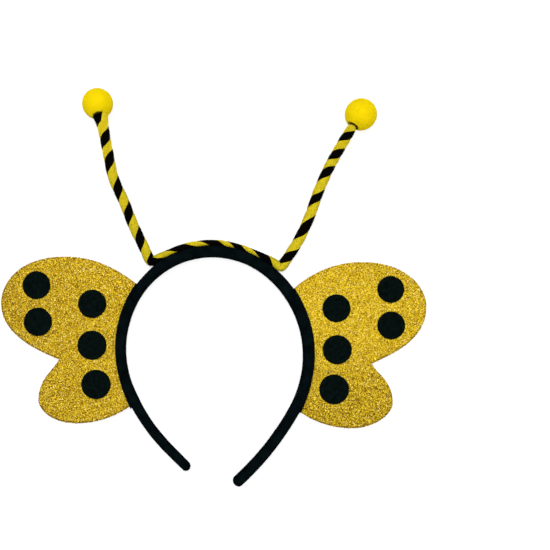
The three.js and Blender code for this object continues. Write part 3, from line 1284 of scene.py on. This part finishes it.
    def build_flakes(self, sheet: bpy.types.Object, outline: np.ndarray) -> bpy.types.Object:
        """Scatter gold flakes over the sheet's face.

        Args:
            sheet: The foam sheet.
            outline: The points of its outline in order.

        Returns:
            The flakes as one object.
        """
        rng = np.random.default_rng(self.flake_seed + self.side.value)
        feet, normals = scatter(sheet, self.flake_count, rng, upward=UPRIGHT)
        beside = np.full(len(feet), np.inf)
        for spot in self.spots:
            away = np.linalg.norm(feet[:, :2] - np.array([spot.x, spot.y]), axis=1)
            beside = np.minimum(beside, away - spot.across / 2)
        clear = beside > -self.flakes_under_spot
        feet, normals, beside = feet[clear], normals[clear], beside[clear]
        tilted = unit(normals + rng.normal(0, self.flake_tilt, feet.shape))
        reach = rng.uniform(*self.flake_reach, len(feet))
        rise = rng.uniform(*self.flake_rise, (len(feet), 1))
        lifted = feet + self.flake_lift * normals
        points = pyramids(lifted, lifted + rise * tilted, reach, rng)
        up = feet[:, 1] - self.seat[1]
        # Painted light and shade by height above the seat, and painted shade far out towards the tip.
        brighter = look_up(self.painted_light, up)
        brighter -= self.outward_painted_shade * ((feet[:, 0] - self.seat[0]) / self.pattern.span) ** 2
        # Painted shade along the free edge, most where it faces down.
        apart, below = to_outline(feet, outline)
        lower = np.clip(below / np.maximum(apart, TINY), 0, 1)
        painted_edge_shade = (self.edge_painted_shade + self.lower_edge_painted_shade * lower) * (apart < self.edge_run)
        distances, offsets, _ = self.line.measure(feet)
        beside = np.minimum(beside, offsets - self.root.face(self.line, distances))
        brighter += np.where(beside < self.rim_run, self.rim_gain, -painted_edge_shade)
        drawn = 0.5 + look_up(self.grain, up) * (rng.random(len(feet)) - 0.5) - brighter
        tones = np.searchsorted(np.cumsum(self.flake_shares[:-1]), drawn)
        return pyramid_piece(f"glitter_{self.side.label}", points, tones)

    def dress(self) -> None:
        """Build the wing, give it its finishes and hand it over."""
        sheet, outline = self.build_sheet()
        flakes = self.build_flakes(sheet, outline)
        give_materials(sheet, GLITTER.material(), FOAM.material())
        give_materials(flakes, *(tone.material() for tone in FLAKES))
        hand_over(sheet, "glitter_foam", f"wing_{self.side.label}")
        hand_over(flakes, "glitter_foam")


@dataclass
class FeltSpots:
    """The round felt spots, cut from one pattern and glued on the wings."""

    across: float = 20.0
    thick: float = 1.0
    sides: int = 72
    rim: float = 0.3
    rim_steps: int = 3
    margin: float = 0.5
    rings: int = 3
    crease: float = 40.0
    ragged: float = 0.12
    ragged_size: float = 2.2
    ragged_shift: float = 1.7
    uneven: float = 0.06
    uneven_size: float = 3.0
    uneven_shift: float = 2.3
    bedded: float = 0.05
    fibres: FeltFibres = FeltFibres(count=1300, length=(0.5, 1.5), rise=0.55, slope=0.35, upward=-0.4)
    fibre_seed: int = 700
    middle_seed: int = 20
    side_seeds: int = 10

    def model(self) -> bpy.types.Object:
        """Model the pattern: a disc with rings on its faces and a soft rim.

        Returns:
            The disc, round the origin.
        """
        radius = self.across / 2
        deselect()
        bpy.ops.mesh.primitive_cylinder_add(
            vertices=self.sides, radius=radius * MM, depth=self.thick * MM, end_fill_type="NGON"
        )
        disc = named("felt_pattern")
        with editing(disc):
            pick_faces(disc, lambda face: abs(face.normal.z) > UPRIGHT)
            bpy.ops.mesh.inset(thickness=self.margin * MM, use_individual=True)
            for _ in range(self.rings):
                bpy.ops.mesh.inset(thickness=radius / (self.rings + 1) * MM, use_individual=True)
            bpy.ops.mesh.poke()
            bpy.ops.mesh.select_all(action="DESELECT")
            shape = bmesh.from_edit_mesh(disc.data)
            for edge in shape.edges:
                flat = [abs(face.normal.z) > UPRIGHT for face in edge.link_faces]
                edge.select_set(len(flat) == 2 and flat[0] != flat[1])
            bmesh.update_edit_mesh(disc.data)
            bpy.ops.mesh.bevel(offset=self.rim * MM, segments=self.rim_steps, affect="EDGES")
        shade_smooth(disc, self.crease)
        return disc

    def lay(self, disc: bpy.types.Object, wing: Wing, spot: SpotPlace, seed: int) -> None:
        """Trim a disc to its size by hand, and bed it on the wing.

        Args:
            disc: A copy of the pattern.
            wing: The wing that it goes on.
            spot: Its place and size.
            seed: Makes its unevenness its own.
        """
        places = vertices_of(disc)
        places[:, :2] *= spot.across / self.across
        ragged = lumps(places, self.ragged_size, self.ragged_shift * seed)
        places[:, :2] *= 1 + 2 / spot.across * self.ragged * ragged[:, None]
        places[:, 2] += self.uneven * lumps(places, self.uneven_size, self.uneven_shift * seed)
        places[:, :2] += spot.x, spot.y
        places[:, 2] += wing.height(places) + (wing.pattern.thick + self.thick) / 2 - self.bedded
        set_vertices(disc, places)

    def dress(self, wings: tuple[Wing, ...]) -> None:
        """Copy the pattern onto every place, give each copy its finishes and hand it over.

        Args:
            wings: The wings with the spots' places.
        """
        pattern = self.model()
        felt = FELT.material()
        tones = [tone.material() for tone in FELT_FIBRES]
        for wing in wings:
            for number, spot in enumerate(wing.spots, start=1):
                node = f"spot_{wing.side.label}_{number}"
                seed = self.middle_seed + self.side_seeds * wing.side.value + number
                activate(pattern)
                bpy.ops.object.duplicate(linked=False)
                disc = named(f"felt_{node}")
                self.lay(disc, wing, spot, seed)
                fibres = self.fibres.grow(disc, disc.name + "_fibres", self.fibre_seed + seed)
                give_materials(disc, felt)
                give_materials(fibres, *tones)
                hand_over(disc, "black_felt", node)
                hand_over(fibres, "black_felt")
        bpy.data.objects.remove(pattern)


# The antennae


@dataclass
class Rope:
    """The route of the two twisted wires, from the left pompom along the hoop to the right one.

    The rope is pressed flat along the crown, and rounds out again over the spans of X in flat_from and
    flat_to. The table of plump adds to half its width by X, and the table of seat says by the distance along
    the hoop how far the rope stands off the padding. On_hoop is where it joins the hoop, where it leaves it
    and how far apart its points lie. The black runs are the stretches that show the black wire on top.
    """

    line: HoopLine
    half: float = 3.9
    flat_half: float = 2.1
    broad_half: float = 4.0
    plump: Table = ((-36.0, 0.0), (-25.0, 0.35), (-12.0, 0.2), (4.0, 0.2), (14.0, 0.0))
    seat: Table = ((-33.0, -0.7), (-25.0, -0.4), (33.0, -0.4), (43.0, -0.6))
    flare: float = 0.8
    flare_run: float = 4.5
    round_run: float = 2.8
    least_round: float = 0.02
    neck: float = 0.18
    neck_run: float = 4.0
    on_hoop: tuple[float, float, float] = (-33.0, 43.0, 4.0)
    bend_radius: float = 1.5
    bend_steps: int = 6
    flat_from: tuple[float, float] = (-49.0, -27.0)
    flat_to: tuple[float, float] = (27.0, 50.0)
    left_corner: Place = (-43.9, 16.7, 5.0)
    right_corner: Place = (47.0, 13.5, 5.0)
    left_stem: tuple[Place, ...] = (
        (-78.7, 120.55, 12.3),
        (-76.95, 112.7, 12.3),
        (-73.1, 92.2, 11.0),
        (-69.6, 75.7, 9.5),
        (-62.3, 59.0, 8.0),
        (-55.8, 42.3, 6.6),
        (-49.2, 28.6, 5.5),
    )
    right_stem: tuple[Place, ...] = (
        (52.9, 22.1, 5.2),
        (59.4, 32.7, 6.0),
        (67.0, 49.3, 7.0),
        (72.8, 66.0, 8.2),
        (79.8, 82.3, 9.4),
        (86.8, 95.15, 10.6),
        (93.9, 107.3, 12.0),
        (96.5, 111.5, 12.5),
    )
    walk_steps: int = 40
    heading_reach: float = 0.4
    black_half: float = 86.0
    glued_black_half: float = 115.0
    black_runs: Table = (
        (-31.0, 6.6),
        (14.3, 22.8),
        (29.0, 38.9),
        (49.5, 58.9),
        (68.0, 77.4),
        (87.1, 97.5),
        (106.2, 115.6),
        (126.4, 139.8),
        (150.1, 162.0),
        (169.2, 177.6),
        (186.6, 199.1),
        (210.9, 220.8),
        (232.0, 245.7),
        (257.3, 264.7),
        (276.1, 284.8),
        (290.2, 298.4),
        (304.9, 312.1),
        (319.1, 327.1),
    )

    def __post_init__(self) -> None:
        """Walk the route once and keep its stations."""
        self.stations = self.walk()
        steps = np.linalg.norm(np.diff(self.stations, axis=0), axis=1)
        self.marks = np.concatenate([[0.0], np.cumsum(steps)])

    @property
    def length(self) -> float:
        """The rope's length."""
        return float(self.marks[-1])

    def flatness(self, x: np.ndarray) -> np.ndarray:
        """How far the rope is pressed flat at each X, from 0 on the antennae to 1 along the crown."""
        return smooth(x, *self.flat_from) * (1 - smooth(x, *self.flat_to))

    def side_half(self, x: float | np.ndarray) -> float | np.ndarray:
        """Half the rope's width across the hoop's face at each X, full on the antennae."""
        pressed = (self.flat_half - self.half) * self.flatness(x)
        return self.half + pressed + look_up(self.plump, x)

    def spread(self, distances: np.ndarray) -> np.ndarray:
        """Find how wide the tufts spread.

        Args:
            distances: Distances from the left end.

        Returns:
            Shares of the full width: more at the left pompom, and drawn in and rounded off at the right one.
        """
        to_end = self.length - distances
        end = np.clip(to_end / self.round_run, self.least_round, 1)
        flared = 1 + self.flare * np.exp(-distances / self.flare_run)
        drawn_in = 1 - self.neck * np.exp(-to_end / self.neck_run)
        return flared * drawn_in * np.sqrt(1 - (1 - end) ** 2)

    def bend(self, before: np.ndarray, corner: np.ndarray, after: np.ndarray) -> list[np.ndarray]:
        """Round a corner of the route.

        Args:
            before: A point on the run that comes in.
            corner: Where the two runs would meet.
            after: A point on the run that goes out.

        Returns:
            Points on the arc between the two runs.
        """
        back, on = unit(before - corner), unit(after - corner)
        opening = math.acos(float(back @ on))
        turn = math.pi - opening
        centre = corner + unit(back + on) * self.bend_radius / math.sin(opening / 2)
        run = self.bend_radius / math.tan(opening / 2)
        first, last = corner + back * run - centre, corner + on * run - centre
        shares = np.linspace(0, 1, self.bend_steps + 1)
        weights = np.column_stack([np.sin((1 - shares) * turn), np.sin(shares * turn)]) / math.sin(turn)
        return [centre + weight[0] * first + weight[1] * last for weight in weights]

    def route(self) -> np.ndarray:
        """List the points that the rope passes through.

        Returns:
            The points in millimetres, one row each, from the left end to the right one.
        """
        left, right = np.array(self.left_stem), np.array(self.right_stem)
        start, end, step = self.on_hoop
        along_hoop = []
        for distance in np.linspace(start, end, math.ceil((end - start) / step) + 1):
            half = self.side_half(self.line.beside(distance, self.half)[0])
            seat = look_up(self.seat, distance)
            along_hoop.append(np.array([*self.line.beside(distance, seat + half), self.line.wide / 2]))
        return np.array([
            *left,
            *self.bend(left[-1], np.array(self.left_corner), along_hoop[0]),
            *along_hoop[1:-1],
            *self.bend(along_hoop[-1], np.array(self.right_corner), right[0]),
            *right,
        ])

    def walk(self) -> np.ndarray:
        """Follow a smooth curve through the route's points.

        Returns:
            Closely spaced points on a centripetal curve, in millimetres.
        """
        route = self.route()
        padded = np.vstack([2 * route[0] - route[1], route, 2 * route[-1] - route[-2]])
        shares = np.linspace(0, 1, self.walk_steps, endpoint=False)[:, None]
        walked = []
        for p0, p1, p2, p3 in zip(padded, padded[1:], padded[2:], padded[3:]):
            gap0, gap1, gap2 = (math.sqrt(np.linalg.norm(b - a)) for a, b in ((p0, p1), (p1, p2), (p2, p3)))
            slope1 = ((p1 - p0) / gap0 - (p2 - p0) / (gap0 + gap1) + (p2 - p1) / gap1) * gap1
            slope2 = ((p2 - p1) / gap1 - (p3 - p1) / (gap1 + gap2) + (p3 - p2) / gap2) * gap1
            cubic = 2 * p1 - 2 * p2 + slope1 + slope2
            square = -3 * p1 + 3 * p2 - 2 * slope1 - slope2
            walked.append(p1 + shares * (slope1 + shares * (square + shares * cubic)))
        return np.vstack([*walked, route[-1:]])

    def black_angle(self, distances: np.ndarray) -> np.ndarray:
        """Half the angle that the black strand takes up round the rope, in degrees, at each distance."""
        x = np.interp(distances, self.marks, self.stations[:, 0])
        return self.black_half + (self.glued_black_half - self.black_half) * self.flatness(x)

    def turns(self, distances: np.ndarray) -> np.ndarray:
        """How many turns the twist has made at each distance: a whole number amid each black run."""
        edges = np.array(self.black_runs)
        turns = np.arange(len(edges))[:, None] + self.black_angle(edges) / 360 * (-1, 1)
        return np.interp(distances, edges.ravel(), turns.ravel())

    def middle(self, distances: np.ndarray) -> np.ndarray:
        """The rope's middle at each distance, one row each."""
        return np.column_stack([np.interp(distances, self.marks, column) for column in self.stations.T])

    def frames(self, distances: np.ndarray) -> tuple[np.ndarray, np.ndarray, np.ndarray, np.ndarray]:
        """Find the rope's frame at each distance along it.

        Args:
            distances: Distances from the left end.

        Returns:
            The middle, the way along, the way to the side and the way up, one row each.
        """
        low = np.clip(distances - self.heading_reach, 0, self.length)
        high = np.clip(distances + self.heading_reach, 0, self.length)
        along = unit(self.middle(high) - self.middle(low))
        side = unit(np.cross(UP, along))
        return self.middle(distances), along, side, np.cross(along, side)


@dataclass
class Stem:
    """One tufted wire of the rope.

    A table by the distance along the rope says how far the tufts' tones are moved towards the lightest:
    painted sheen and shade along the rope. Tone_order lists their material slots from the darkest.
    """

    rope: Rope
    strand: Strand
    core: float = 0.92
    groove: float = 0.08
    wire: float = 0.42
    inner_edge: float = 0.15
    station: float = 1.1
    arc_steps: int = 10
    tuft_seed: int = 90
    tuft_count: int = 27000
    tuft_root: float = 0.5
    tuft_tips: tuple[float, float] = (0.99, 1.09)
    tuft_reach: tuple[float, float] = (0.17, 0.27)
    tuft_lean: float = 0.35
    floor_gap: float = 0.1
    tone_order: tuple[int, ...] = (1, 0, 2)
    tone_steps: tuple[float, ...] = (0.25, 0.75)
    # Painted sheen and shade along the rope, by distance from the left end.
    painted_sheen: Table = (
        (26.0, 0.75),
        (42.0, 0.0),
        (105.0, -0.05),
        (121.0, -0.25),
        (136.0, 0.4),
        (185.0, 0.4),
        (205.0, -0.7),
        (220.0, 0.0),
        (285.0, 0.0),
        (301.0, 0.4),
    )

    def surface(self, distances: np.ndarray, shares: np.ndarray) -> tuple[np.ndarray, np.ndarray, np.ndarray]:
        """Find the tufts' outer surface.

        Args:
            distances: Distances along the rope.
            shares: Places round it, from -1 at one edge of the strand to 1 at the other.

        Returns:
            The rope's middle, the strand's wire and the outer surface at each, one row each.
        """
        rope = self.rope
        middle, _, side, up = rope.frames(distances)
        pressed = rope.flatness(middle[:, 0])
        spread = rope.spread(distances)
        reach_side = (spread * rope.side_half(middle[:, 0]))[:, None]
        reach_up = (spread * (rope.half + (rope.broad_half - rope.half) * pressed))[:, None]
        facing = self.strand.value * math.pi / 2 + 2 * math.pi * rope.turns(distances)
        black_angle = rope.black_angle(distances)
        angles = shares * np.radians(black_angle if self.strand is Strand.BLACK else 180 - black_angle)
        height = 1 - self.groove * shares**2

        def spot(angle: np.ndarray, share: np.ndarray | float) -> np.ndarray:
            """The point at an angle round the rope, at a share of its reach from the middle."""
            across = reach_side * np.cos(angle)[:, None] * side
            return middle + np.reshape(share, (-1, 1)) * (across + reach_up * np.sin(angle)[:, None] * up)

        return middle, spot(facing, self.wire), spot(facing + angles, height)

    def build_core(self) -> bpy.types.Object:
        """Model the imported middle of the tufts: a grid rolled up round the rope's route.

        Returns:
            The strand's core, closed at both ends.
        """
        stations = math.ceil(self.rope.length / self.station)
        around = self.arc_steps + 2
        deselect()
        bpy.ops.mesh.primitive_grid_add(x_subdivisions=stations, y_subdivisions=around, size=1)
        core = named(f"chenille_{self.strand.label}")
        grid = vertices_of(core) * MM + 0.5
        distances = grid[:, 0] * self.rope.length
        column = np.round(grid[:, 1] * around).astype(int) % around
        shares = 2 * np.minimum(column, self.arc_steps) / self.arc_steps - 1
        middle, wire, outer = self.surface(distances, shares)
        places = middle + self.core * (outer - middle)
        inner = (column > self.arc_steps)[:, None]
        set_vertices(core, np.where(inner, middle + self.inner_edge * (wire - middle), places))
        with editing(core):
            bpy.ops.mesh.remove_doubles(threshold=WELD * MM)
            bpy.ops.mesh.fill_holes(sides=0)
            bpy.ops.mesh.select_all(action="SELECT")
            bpy.ops.mesh.normals_make_consistent(inside=False)
        return core

    def build_tufts(self) -> bpy.types.Object:
        """Grow the tufts out from the strand's wire.

        Returns:
            The tufts as one object.
        """
        rng = np.random.default_rng(self.tuft_seed + self.strand.value)
        distances = rng.uniform(0, self.rope.length, self.tuft_count)
        _, wire, outer = self.surface(distances, rng.uniform(-1, 1, self.tuft_count))
        _, along, _, _ = self.rope.frames(distances)
        feet = wire + self.tuft_root * (outer - wire)
        peaks = wire + rng.uniform(*self.tuft_tips, (len(feet), 1)) * (outer - wire)
        peaks += rng.normal(0, self.tuft_lean, (len(feet), 1)) * along
        peaks = off_floor(peaks, self.floor_gap)
        points = pyramids(feet, peaks, rng.uniform(*self.tuft_reach, len(feet)), rng)
        # Tones moved by the painted sheen and shade along the rope.
        drawn = rng.random(len(feet)) + look_up(self.painted_sheen, distances)
        tones = np.array(self.tone_order)[np.searchsorted(self.tone_steps, drawn)]
        return pyramid_piece(f"chenille_{self.strand.label}_tufts", points, tones)

    def dress(self) -> None:
        """Build the strand, give it its tones and hand it over."""
        core, tufts = self.build_core(), self.build_tufts()
        tones = [tone.material() for tone in CHENILLE[self.strand]]
        give_materials(core, *tones)
        give_materials(tufts, *tones)
        stem = join(core, tufts)
        hand_over(stem, f"{self.strand.label}_chenille", f"stem_{self.strand.label}")


@dataclass
class Pompom:
    """A dense clipped pompom on one end of the rope. Where a ring is given, the core and the fibres round the
    rope's end take a dark tone: painted shade for the crevice where the rope goes in.
    """

    rope: Rope
    side: Side
    x: float
    y: float
    across: float
    mouth: float
    overlap: float
    # How far the ring of painted shade reaches past the hole, for the crevice where the rope goes in.
    shade_ring: float
    core: float = 0.98
    ball_steps: int = 5
    dent: float = 1.0
    fibre_seed: int = 120
    fibre_count: int = 26000
    fibre_root: float = 0.88
    fibre_tips: tuple[float, float] = (0.985, 1.03)
    fibre_reach: tuple[float, float] = (0.2, 0.32)
    fibre_lean: float = 0.04
    clear_at: tuple[float, ...] = (0.4, 0.7, 1.0)
    tone_shares: tuple[float, ...] = (0.5, 0.2, 0.3)
    # How deep behind the rope's end the painted shade reaches.
    shade_deep: float = 1.6
    floor_gap: float = 0.05

    @property
    def hole(self) -> float:
        """The radius of the hole that the rope goes into."""
        flare = self.rope.flare if self.side is Side.LEFT else 0.0
        return self.rope.half * (1 + flare) + self.mouth

    @property
    def shade_slot(self) -> int:
        """The material slot of the painted shade round the rope's end, which comes after the tones."""
        return len(self.tone_shares)

    def from_mouth(self, places: np.ndarray) -> tuple[np.ndarray, np.ndarray, np.ndarray]:
        """Measure points against the rope's end.

        Args:
            places: Points in millimetres, one row each.

        Returns:
            How far each lies out along the rope from its end, how far from its axis, and the way out.
        """
        end = 0.0 if self.side is Side.LEFT else self.rope.length
        middle, along, _, _ = self.rope.frames(np.array([end]))
        out = along[0] if self.side is Side.LEFT else -along[0]
        run = (places - middle[0]) @ out
        return run, np.linalg.norm(places - middle[0] - run[:, None] * out, axis=1), out

    def build_core(self, centre: np.ndarray) -> bpy.types.Object:
        """Model the ball under the fibres, dented where the rope goes in.

        Args:
            centre: The ball's centre.

        Returns:
            The core, with its mouth in the last material slot, coloured dark as painted shade.
        """
        deselect()
        bpy.ops.mesh.primitive_ico_sphere_add(
            subdivisions=self.ball_steps,
            radius=self.across / 2 * self.core * MM,
            location=tuple(centre * MM),
        )
        ball = named(f"pompom_ball_{self.side.label}")
        apply_place(ball)
        places = vertices_of(ball)
        run, aside, out = self.from_mouth(places)
        within = (aside < self.hole) & (run > -self.dent) & (self.mouth > 0)
        places -= np.where(within, run + self.dent, 0)[:, None] * out
        set_vertices(ball, places)
        faces = np.array([face.center for face in ball.data.polygons]) / MM
        run, aside, _ = self.from_mouth(faces)
        # Faces in the dented mouth take the dark tone: painted shade in the crevice.
        shaded = (aside < self.hole) & (run > -self.shade_deep) & (self.shade_ring > 0)
        slots = np.where(shaded, self.shade_slot, 0).astype(np.int32)
        ball.data.polygons.foreach_set("material_index", slots)
        return ball

    def build_fibres(self, centre: np.ndarray) -> bpy.types.Object:
        """Grow the fibres all round the ball, but not where the rope goes in.

        Args:
            centre: The ball's centre.

        Returns:
            The fibres as one object.
        """
        rng = np.random.default_rng(self.fibre_seed + self.side.value)
        ways = unit(rng.normal(0, 1, (self.fibre_count, 3)))
        radius = self.across / 2
        feet = centre + radius * self.fibre_root * ways
        lengths = radius * rng.uniform(*self.fibre_tips, (len(feet), 1))
        peaks = centre + lengths * unit(ways + rng.normal(0, self.fibre_lean, ways.shape))
        peaks = off_floor(peaks, self.floor_gap)
        clear = np.full(len(feet), True)
        for share in self.clear_at:
            run, aside, _ = self.from_mouth(feet + share * (peaks - feet))
            clear &= (aside > self.hole) | (run < self.overlap)
        feet, peaks = feet[clear], peaks[clear]
        points = pyramids(feet, peaks, rng.uniform(*self.fibre_reach, len(feet)), rng)
        tones = rng.choice(len(self.tone_shares), len(feet), p=self.tone_shares)
        run, aside, _ = self.from_mouth(peaks)
        # Fibres round the hole take the dark tone: painted shade in the crevice where the rope goes in.
        shaded = (aside < self.hole + self.shade_ring) & (run > -self.shade_deep) & (self.shade_ring > 0)
        tones[shaded] = self.shade_slot
        return pyramid_piece(f"pompom_fibres_{self.side.label}", points, tones)

    def dress(self) -> None:
        """Build the pompom, give it its tones and hand it over."""
        centre = np.array([self.x, self.y, self.across / 2])
        ball, fibres = self.build_core(centre), self.build_fibres(centre)
        tones = [tone.material() for tone in POMPOM_TONES]
        give_materials(ball, *tones)
        give_materials(fibres, *tones)
        pompom = join(ball, fibres)
        hand_over(pompom, "yellow_pompom", f"pompom_{self.side.label}")


# The studio


@dataclass(frozen=True)
class Lamp:
    """A soft square lamp that faces the headband. Its place and size are metres."""

    name: str
    place: Place
    across: float
    watts: float

    def add(self) -> None:
        """Hang the lamp."""
        deselect()
        bpy.ops.object.light_add(type="AREA", location=self.place)
        lamp = named(self.name)
        lamp.data.size = self.across
        lamp.data.energy = self.watts
        lamp.rotation_euler = (-Vector(self.place)).to_track_quat("-Z", "Y").to_euler()


@dataclass
class Studio:
    """A pale floor, soft light and a camera straight above."""

    image_width: float = 550.0
    millimetres_a_pixel: float = 0.70
    camera_height: float = 600.0
    sharp_height: float = 5.0
    sensor: float = 36.0
    origin_pixel: tuple[float, float] = (213.7, 286.9)
    sky: float = 0.45
    floor_across: float = 6000.0
    floor_colour: Colour = (0.25, 0.25, 0.25)
    floor_roughness: float = 0.9
    floor_shine: float = 0.1
    floor_glow: float = 0.78
    lamps: tuple[Lamp, ...] = (
        Lamp("key_lamp", place=(-0.25, 0.5, 1.2), across=0.8, watts=16.0),
        Lamp("fill_lamp", place=(0.5, -0.25, 1.2), across=0.8, watts=7.6),
    )

    def floor(self) -> None:
        """Lay the floor."""
        deselect()
        bpy.ops.mesh.primitive_plane_add(size=self.floor_across * MM)
        floor = named("floor")
        shader = Shader("pale_floor")
        shader.set(Base_Color=(*self.floor_colour, 1), Roughness=self.floor_roughness)
        shader.set(Specular_IOR_Level=self.floor_shine)
        shader.set(Emission_Color=(1, 1, 1, 1), Emission_Strength=self.floor_glow)
        give_materials(floor, shader.material)
        floor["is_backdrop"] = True

    def light(self) -> None:
        """Light the room evenly, and hang the lamps."""
        world = bpy.data.worlds.new("pale_room")
        world.use_nodes = True
        background = world.node_tree.nodes["Background"].inputs
        background["Color"].default_value = (1, 1, 1, 1)
        background["Strength"].default_value = self.sky
        bpy.context.scene.world = world
        for lamp in self.lamps:
            lamp.add()

    def camera(self) -> None:
        """Set the camera straight above, shifted so that the headband lies where it should in the picture."""
        deselect()
        bpy.ops.object.camera_add(location=(0, 0, self.camera_height * MM))
        camera = named("camera")
        seen = self.image_width * self.millimetres_a_pixel
        camera.data.sensor_width = self.sensor
        camera.data.lens = self.sensor * (self.camera_height - self.sharp_height) / seen
        camera.data.shift_x = 0.5 - self.origin_pixel[0] / self.image_width
        camera.data.shift_y = self.origin_pixel[1] / self.image_width - 0.5
        bpy.context.scene.camera = camera
        bpy.context.scene.view_settings.view_transform = "Standard"

    def set_up(self) -> None:
        """Lay the floor, light it and set the camera."""
        self.floor()
        self.light()
        self.camera()


# This headband's own sizes, and its making


LEFT_ROOT = Root(
    top=53.3,
    bottom=138.8,
    top_offset=0.75,
    least_offset=0.0,
    bottom_offset=1.0,
    felt_past_top=0.1,
    felt_past_bottom=1.4,
)
RIGHT_ROOT = Root(
    top=66.0,
    bottom=151.4,
    top_offset=0.6,
    least_offset=0.0,
    bottom_offset=0.6,
    felt_past_top=0.0,
    felt_past_bottom=0.3,
)
LEFT_PATTERN = WingPattern(
    knots=(
        Knot(37.8, 57.1, 0, 0, 21.3, 33.1),
        Knot(82.8, 24.3, -90, -90, 14.2, 25.3),
        Knot(41.8, -14.8, -153, -63, 6.2, 8.5),
        Knot(56.4, -43.2, -90, -90, 14.8, 7.3),
        Knot(29.7, -59.6, 180, 180, 17.1, 20.8),
    ),
    top_heading=39.0,
    top_reach=15.3,
)
RIGHT_PATTERN = WingPattern(
    knots=(
        Knot(36.3, 56.8, 0, 0, 19.6, 31.5),
        Knot(83.0, 24.8, -90, -90, 14.5, 27.0),
        Knot(42.9, -14.6, -149.5, -61.3, 7.5, 9.3),
        Knot(56.8, -41.9, -90, -90, 14.8, 8.6),
        Knot(29.5, -59.2, 180, 180, 14.2, 21.7),
    ),
    top_heading=39.5,
    top_reach=13.9,
)
LEFT_SPOTS = (
    SpotPlace(-124.0, 1.2, 19.4),
    SpotPlace(-84.8, -11.8, 19.6),
    SpotPlace(-122.9, -24.4, 19.8),
    SpotPlace(-84.9, -40.7, 20.2),
    SpotPlace(-82.2, -68.1, 20.4),
)
RIGHT_SPOTS = (
    SpotPlace(123.9, -1.7, 18.7),
    SpotPlace(85.7, -14.9, 19.4),
    SpotPlace(124.1, -26.9, 19.4),
    SpotPlace(86.2, -43.8, 20.2),
    SpotPlace(84.1, -71.6, 20.7),
)
# Painted light and shade on the right wing: brighter over the upper lobe, darker over the lower one.
RIGHT_PAINTED_LIGHT = ((-60.0, -0.2), (-54.0, -0.1), (-30.0, 0.03), (-8.0, 0.25), (25.0, 0.37), (52.0, 0.23))
RIGHT_GRAIN = ((-60.0, 2.0), (-30.0, 1.8), (-8.0, 1.1))


def write_sizes() -> None:
    """Set the solid frame's box and the dressed headband's box side by side; they are not written anywhere.
    """
    boxes = {"cad": cad_box, "visual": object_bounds()}
    plain = {name: [list(corner) for corner in box] for name, box in boxes.items()}


def main() -> None:
    """Build the headband piece by piece, then the studio."""
    logging.basicConfig(level=logging.INFO, format="%(name)s %(message)s")
    line = HoopLine()
    Hoop(line).dress()
    wings = (
        Wing(line, Side.LEFT, LEFT_ROOT, LEFT_PATTERN, LEFT_SPOTS, seat=(-66.3, -35.9)),
        Wing(
            line,
            Side.RIGHT,
            RIGHT_ROOT,
            RIGHT_PATTERN,
            RIGHT_SPOTS,
            seat=(67.1, -40.8),
            turn=2.1,
            painted_light=RIGHT_PAINTED_LIGHT,
            grain=RIGHT_GRAIN,
        ),
    )
    for wing in wings:
        RootStrip(line, wing.side, wing.root).dress()
        wing.dress()
    FeltSpots().dress(wings)
    rope = Rope(line)
    for strand in Strand:
        Stem(rope, strand).dress()
    Pompom(rope, Side.LEFT, x=-80.5, y=127.0, across=21.2, mouth=0.0, overlap=2.3, shade_ring=0.0).dress()
    Pompom(rope, Side.RIGHT, x=102.0, y=119.5, across=21.9, mouth=0.15, overlap=-0.3, shade_ring=0.2).dress()
    Studio().set_up()
    write_sizes()


if __name__ == "__main__":
    main()
